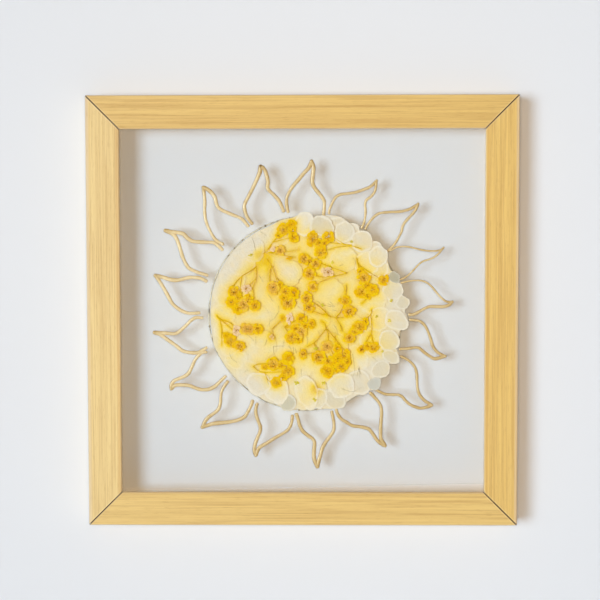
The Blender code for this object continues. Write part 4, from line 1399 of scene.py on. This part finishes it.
def pale_room():
    """The room round the frame: its light, what the panes mirror, and what shows through them."""
    world = bpy.data.worlds.new("pale room")
    world.use_nodes = True
    SCENE.world = world
    tree = world.node_tree
    tree.nodes.clear()
    rays = node(tree, "ShaderNodeLightPath").outputs
    # Glass mirrors a pale room from the sides and a dark one from straight in front
    aim = axes(tree, node(tree, "ShaderNodeTexCoord").outputs["Generated"])["Y"]
    ahead = smooth_step(tree, times(tree, aim, -1.0), 0.70, 0.96)
    mirrored = mix(tree, ahead, (0.30, 0.30, 0.31, 1), (0.012, 0.012, 0.012, 1))
    room = mix(tree, rays["Is Glossy Ray"], (0.10, 0.09, 0.09, 1), mirrored)
    straight = math_node(tree, "LESS_THAN", rays["Glossy Depth"], 0.5)
    through = times(tree, rays["Is Transmission Ray"], straight)
    looking = math_node(tree, "MAXIMUM", rays["Is Camera Ray"], through)
    room = mix(tree, looking, room, (0.84, 0.84, 0.84, 1))
    light = first(tree, "ShaderNodeBackground", {"Color": room, "Strength": 1.0})
    node(tree, "ShaderNodeOutputWorld", {"Surface": light})


def lighting():
    """Soft daylight from the left and front."""
    along = Vector((0.62, 1.0, -0.03)).normalized()
    share = tuple(part / along.y for part in (0.42, 0.54, 0.66))
    window = lamp("window light", "SUN", along, share, angle=math.radians(25))
    unmirrored(window, ("pane_front", "pane_back"))
    # A round lamp where the photograph was taken from lights the frame's inner edges
    spread = math.pi * (BACK_Y - EYE.y) ** 2
    front = lamp("soft front light", "AREA", (0, 1, 0), (0.51, 0.395, 0.27), spread, shape="DISK", size=0.16)
    front.location = EYE
    front.visible_camera = False
    rear = lamp("soft rear light", "SUN", (0.25, -1.0, -0.35), (0.37, 0.36, 0.34), angle=math.radians(30))
    for light in (front, rear):
        light.visible_glossy = False


def camera():
    """The photograph's viewing angle."""
    data = bpy.data.cameras.new("camera")
    data.sensor_width = 36
    data.lens = data.sensor_width * VIEW_SCALE / VIEW_PIXELS
    data.clip_start = 0.01
    data.dof.use_dof = False
    made = linked("camera", data)
    looking = TURN @ Matrix(((1, 0, 0), (0, 0, -1), (0, 1, 0)))
    made.matrix_world = Matrix.Translation(EYE) @ looking.to_4x4()
    SCENE.camera = made


# Everything together


def dress(name, finish):
    """Gives a node of the frame its detailed finish."""
    made = bpy.data.objects[name]
    made.data.materials.clear()
    made.data.materials.append(finish)


def dress_rails():
    """Oak for each rail, with its own stretch of grain and its own tone, which paints how that rail is lit.
    """
    # Painted light: the left rail, grazed by the window light, is painted paler and bluer as a sheen
    for name, upright, shift, tone in (
        ("rail_top", False, (0.0, 0.0, 0.0), (0.96, 0.92, 0.82)),
        ("rail_bottom", False, (3.1, 0.4, 0.2), (0.985, 0.97, 0.92)),
        ("rail_left", True, (7.3, 1.1, 0.6), (1.04, 1.09, 1.25)),
        ("rail_right", True, (5.7, 2.3, 1.4), (1.0, 0.96, 0.82)),
    ):
        pale = tuple(a * b for a, b in zip((0.80, 0.56, 0.20), tone)) + (1,)
        deep = tuple(a * b for a, b in zip((0.60, 0.37, 0.115), tone)) + (1,)
        dress(name, oak(f"oiled oak {name[5:]}", upright, shift, pale, deep))


def build():
    """Every piece in turn, and then the light and the camera."""
    dress_rails()
    for side in ("front", "back"):
        dress(f"pane_{side}", clear_pane(f"clear {side} pane", (0.996, 0.998, 0.996, 1)))
    gold_rays(raised_paint("gold outliner", GOLD_PAINT, metallic=0.1, roughness=0.35))
    pewter_ring(raised_paint("pewter outliner", PEWTER_PAINT, metallic=0.1, roughness=0.4))
    shape = round_petal()
    tissue = petal_finish("pressed petal")
    petal_layer(shape, tissue)
    pressed_petals(shape, tissue, petal_finish("thin grey petal", alpha=0.62))
    little = small_petal()
    grain = speck()
    blossom = blossom_finish("dyed blossom")
    dark = stem_finish("dark heart specks", seen(160, 102, 12), seen(108, 64, 4))
    stem = stem_finish("dyed stem", seen(236, 200, 2), seen(208, 165, 0))
    dyed_sprigs(little, grain, blossom, dark, stem)
    flecks(little, stem_finish("green fleck", seen(226, 210, 66), seen(200, 186, 40)))
    fibres(stem_finish("grey green fibre", seen(176, 168, 120), seen(132, 122, 80)))
    for helper in (shape, little, grain):
        bpy.data.objects.remove(helper, do_unlink=True)
    backdrop()
    lighting()
    pale_room()
    camera()
    SCENE.view_settings.view_transform = "Standard"


build()
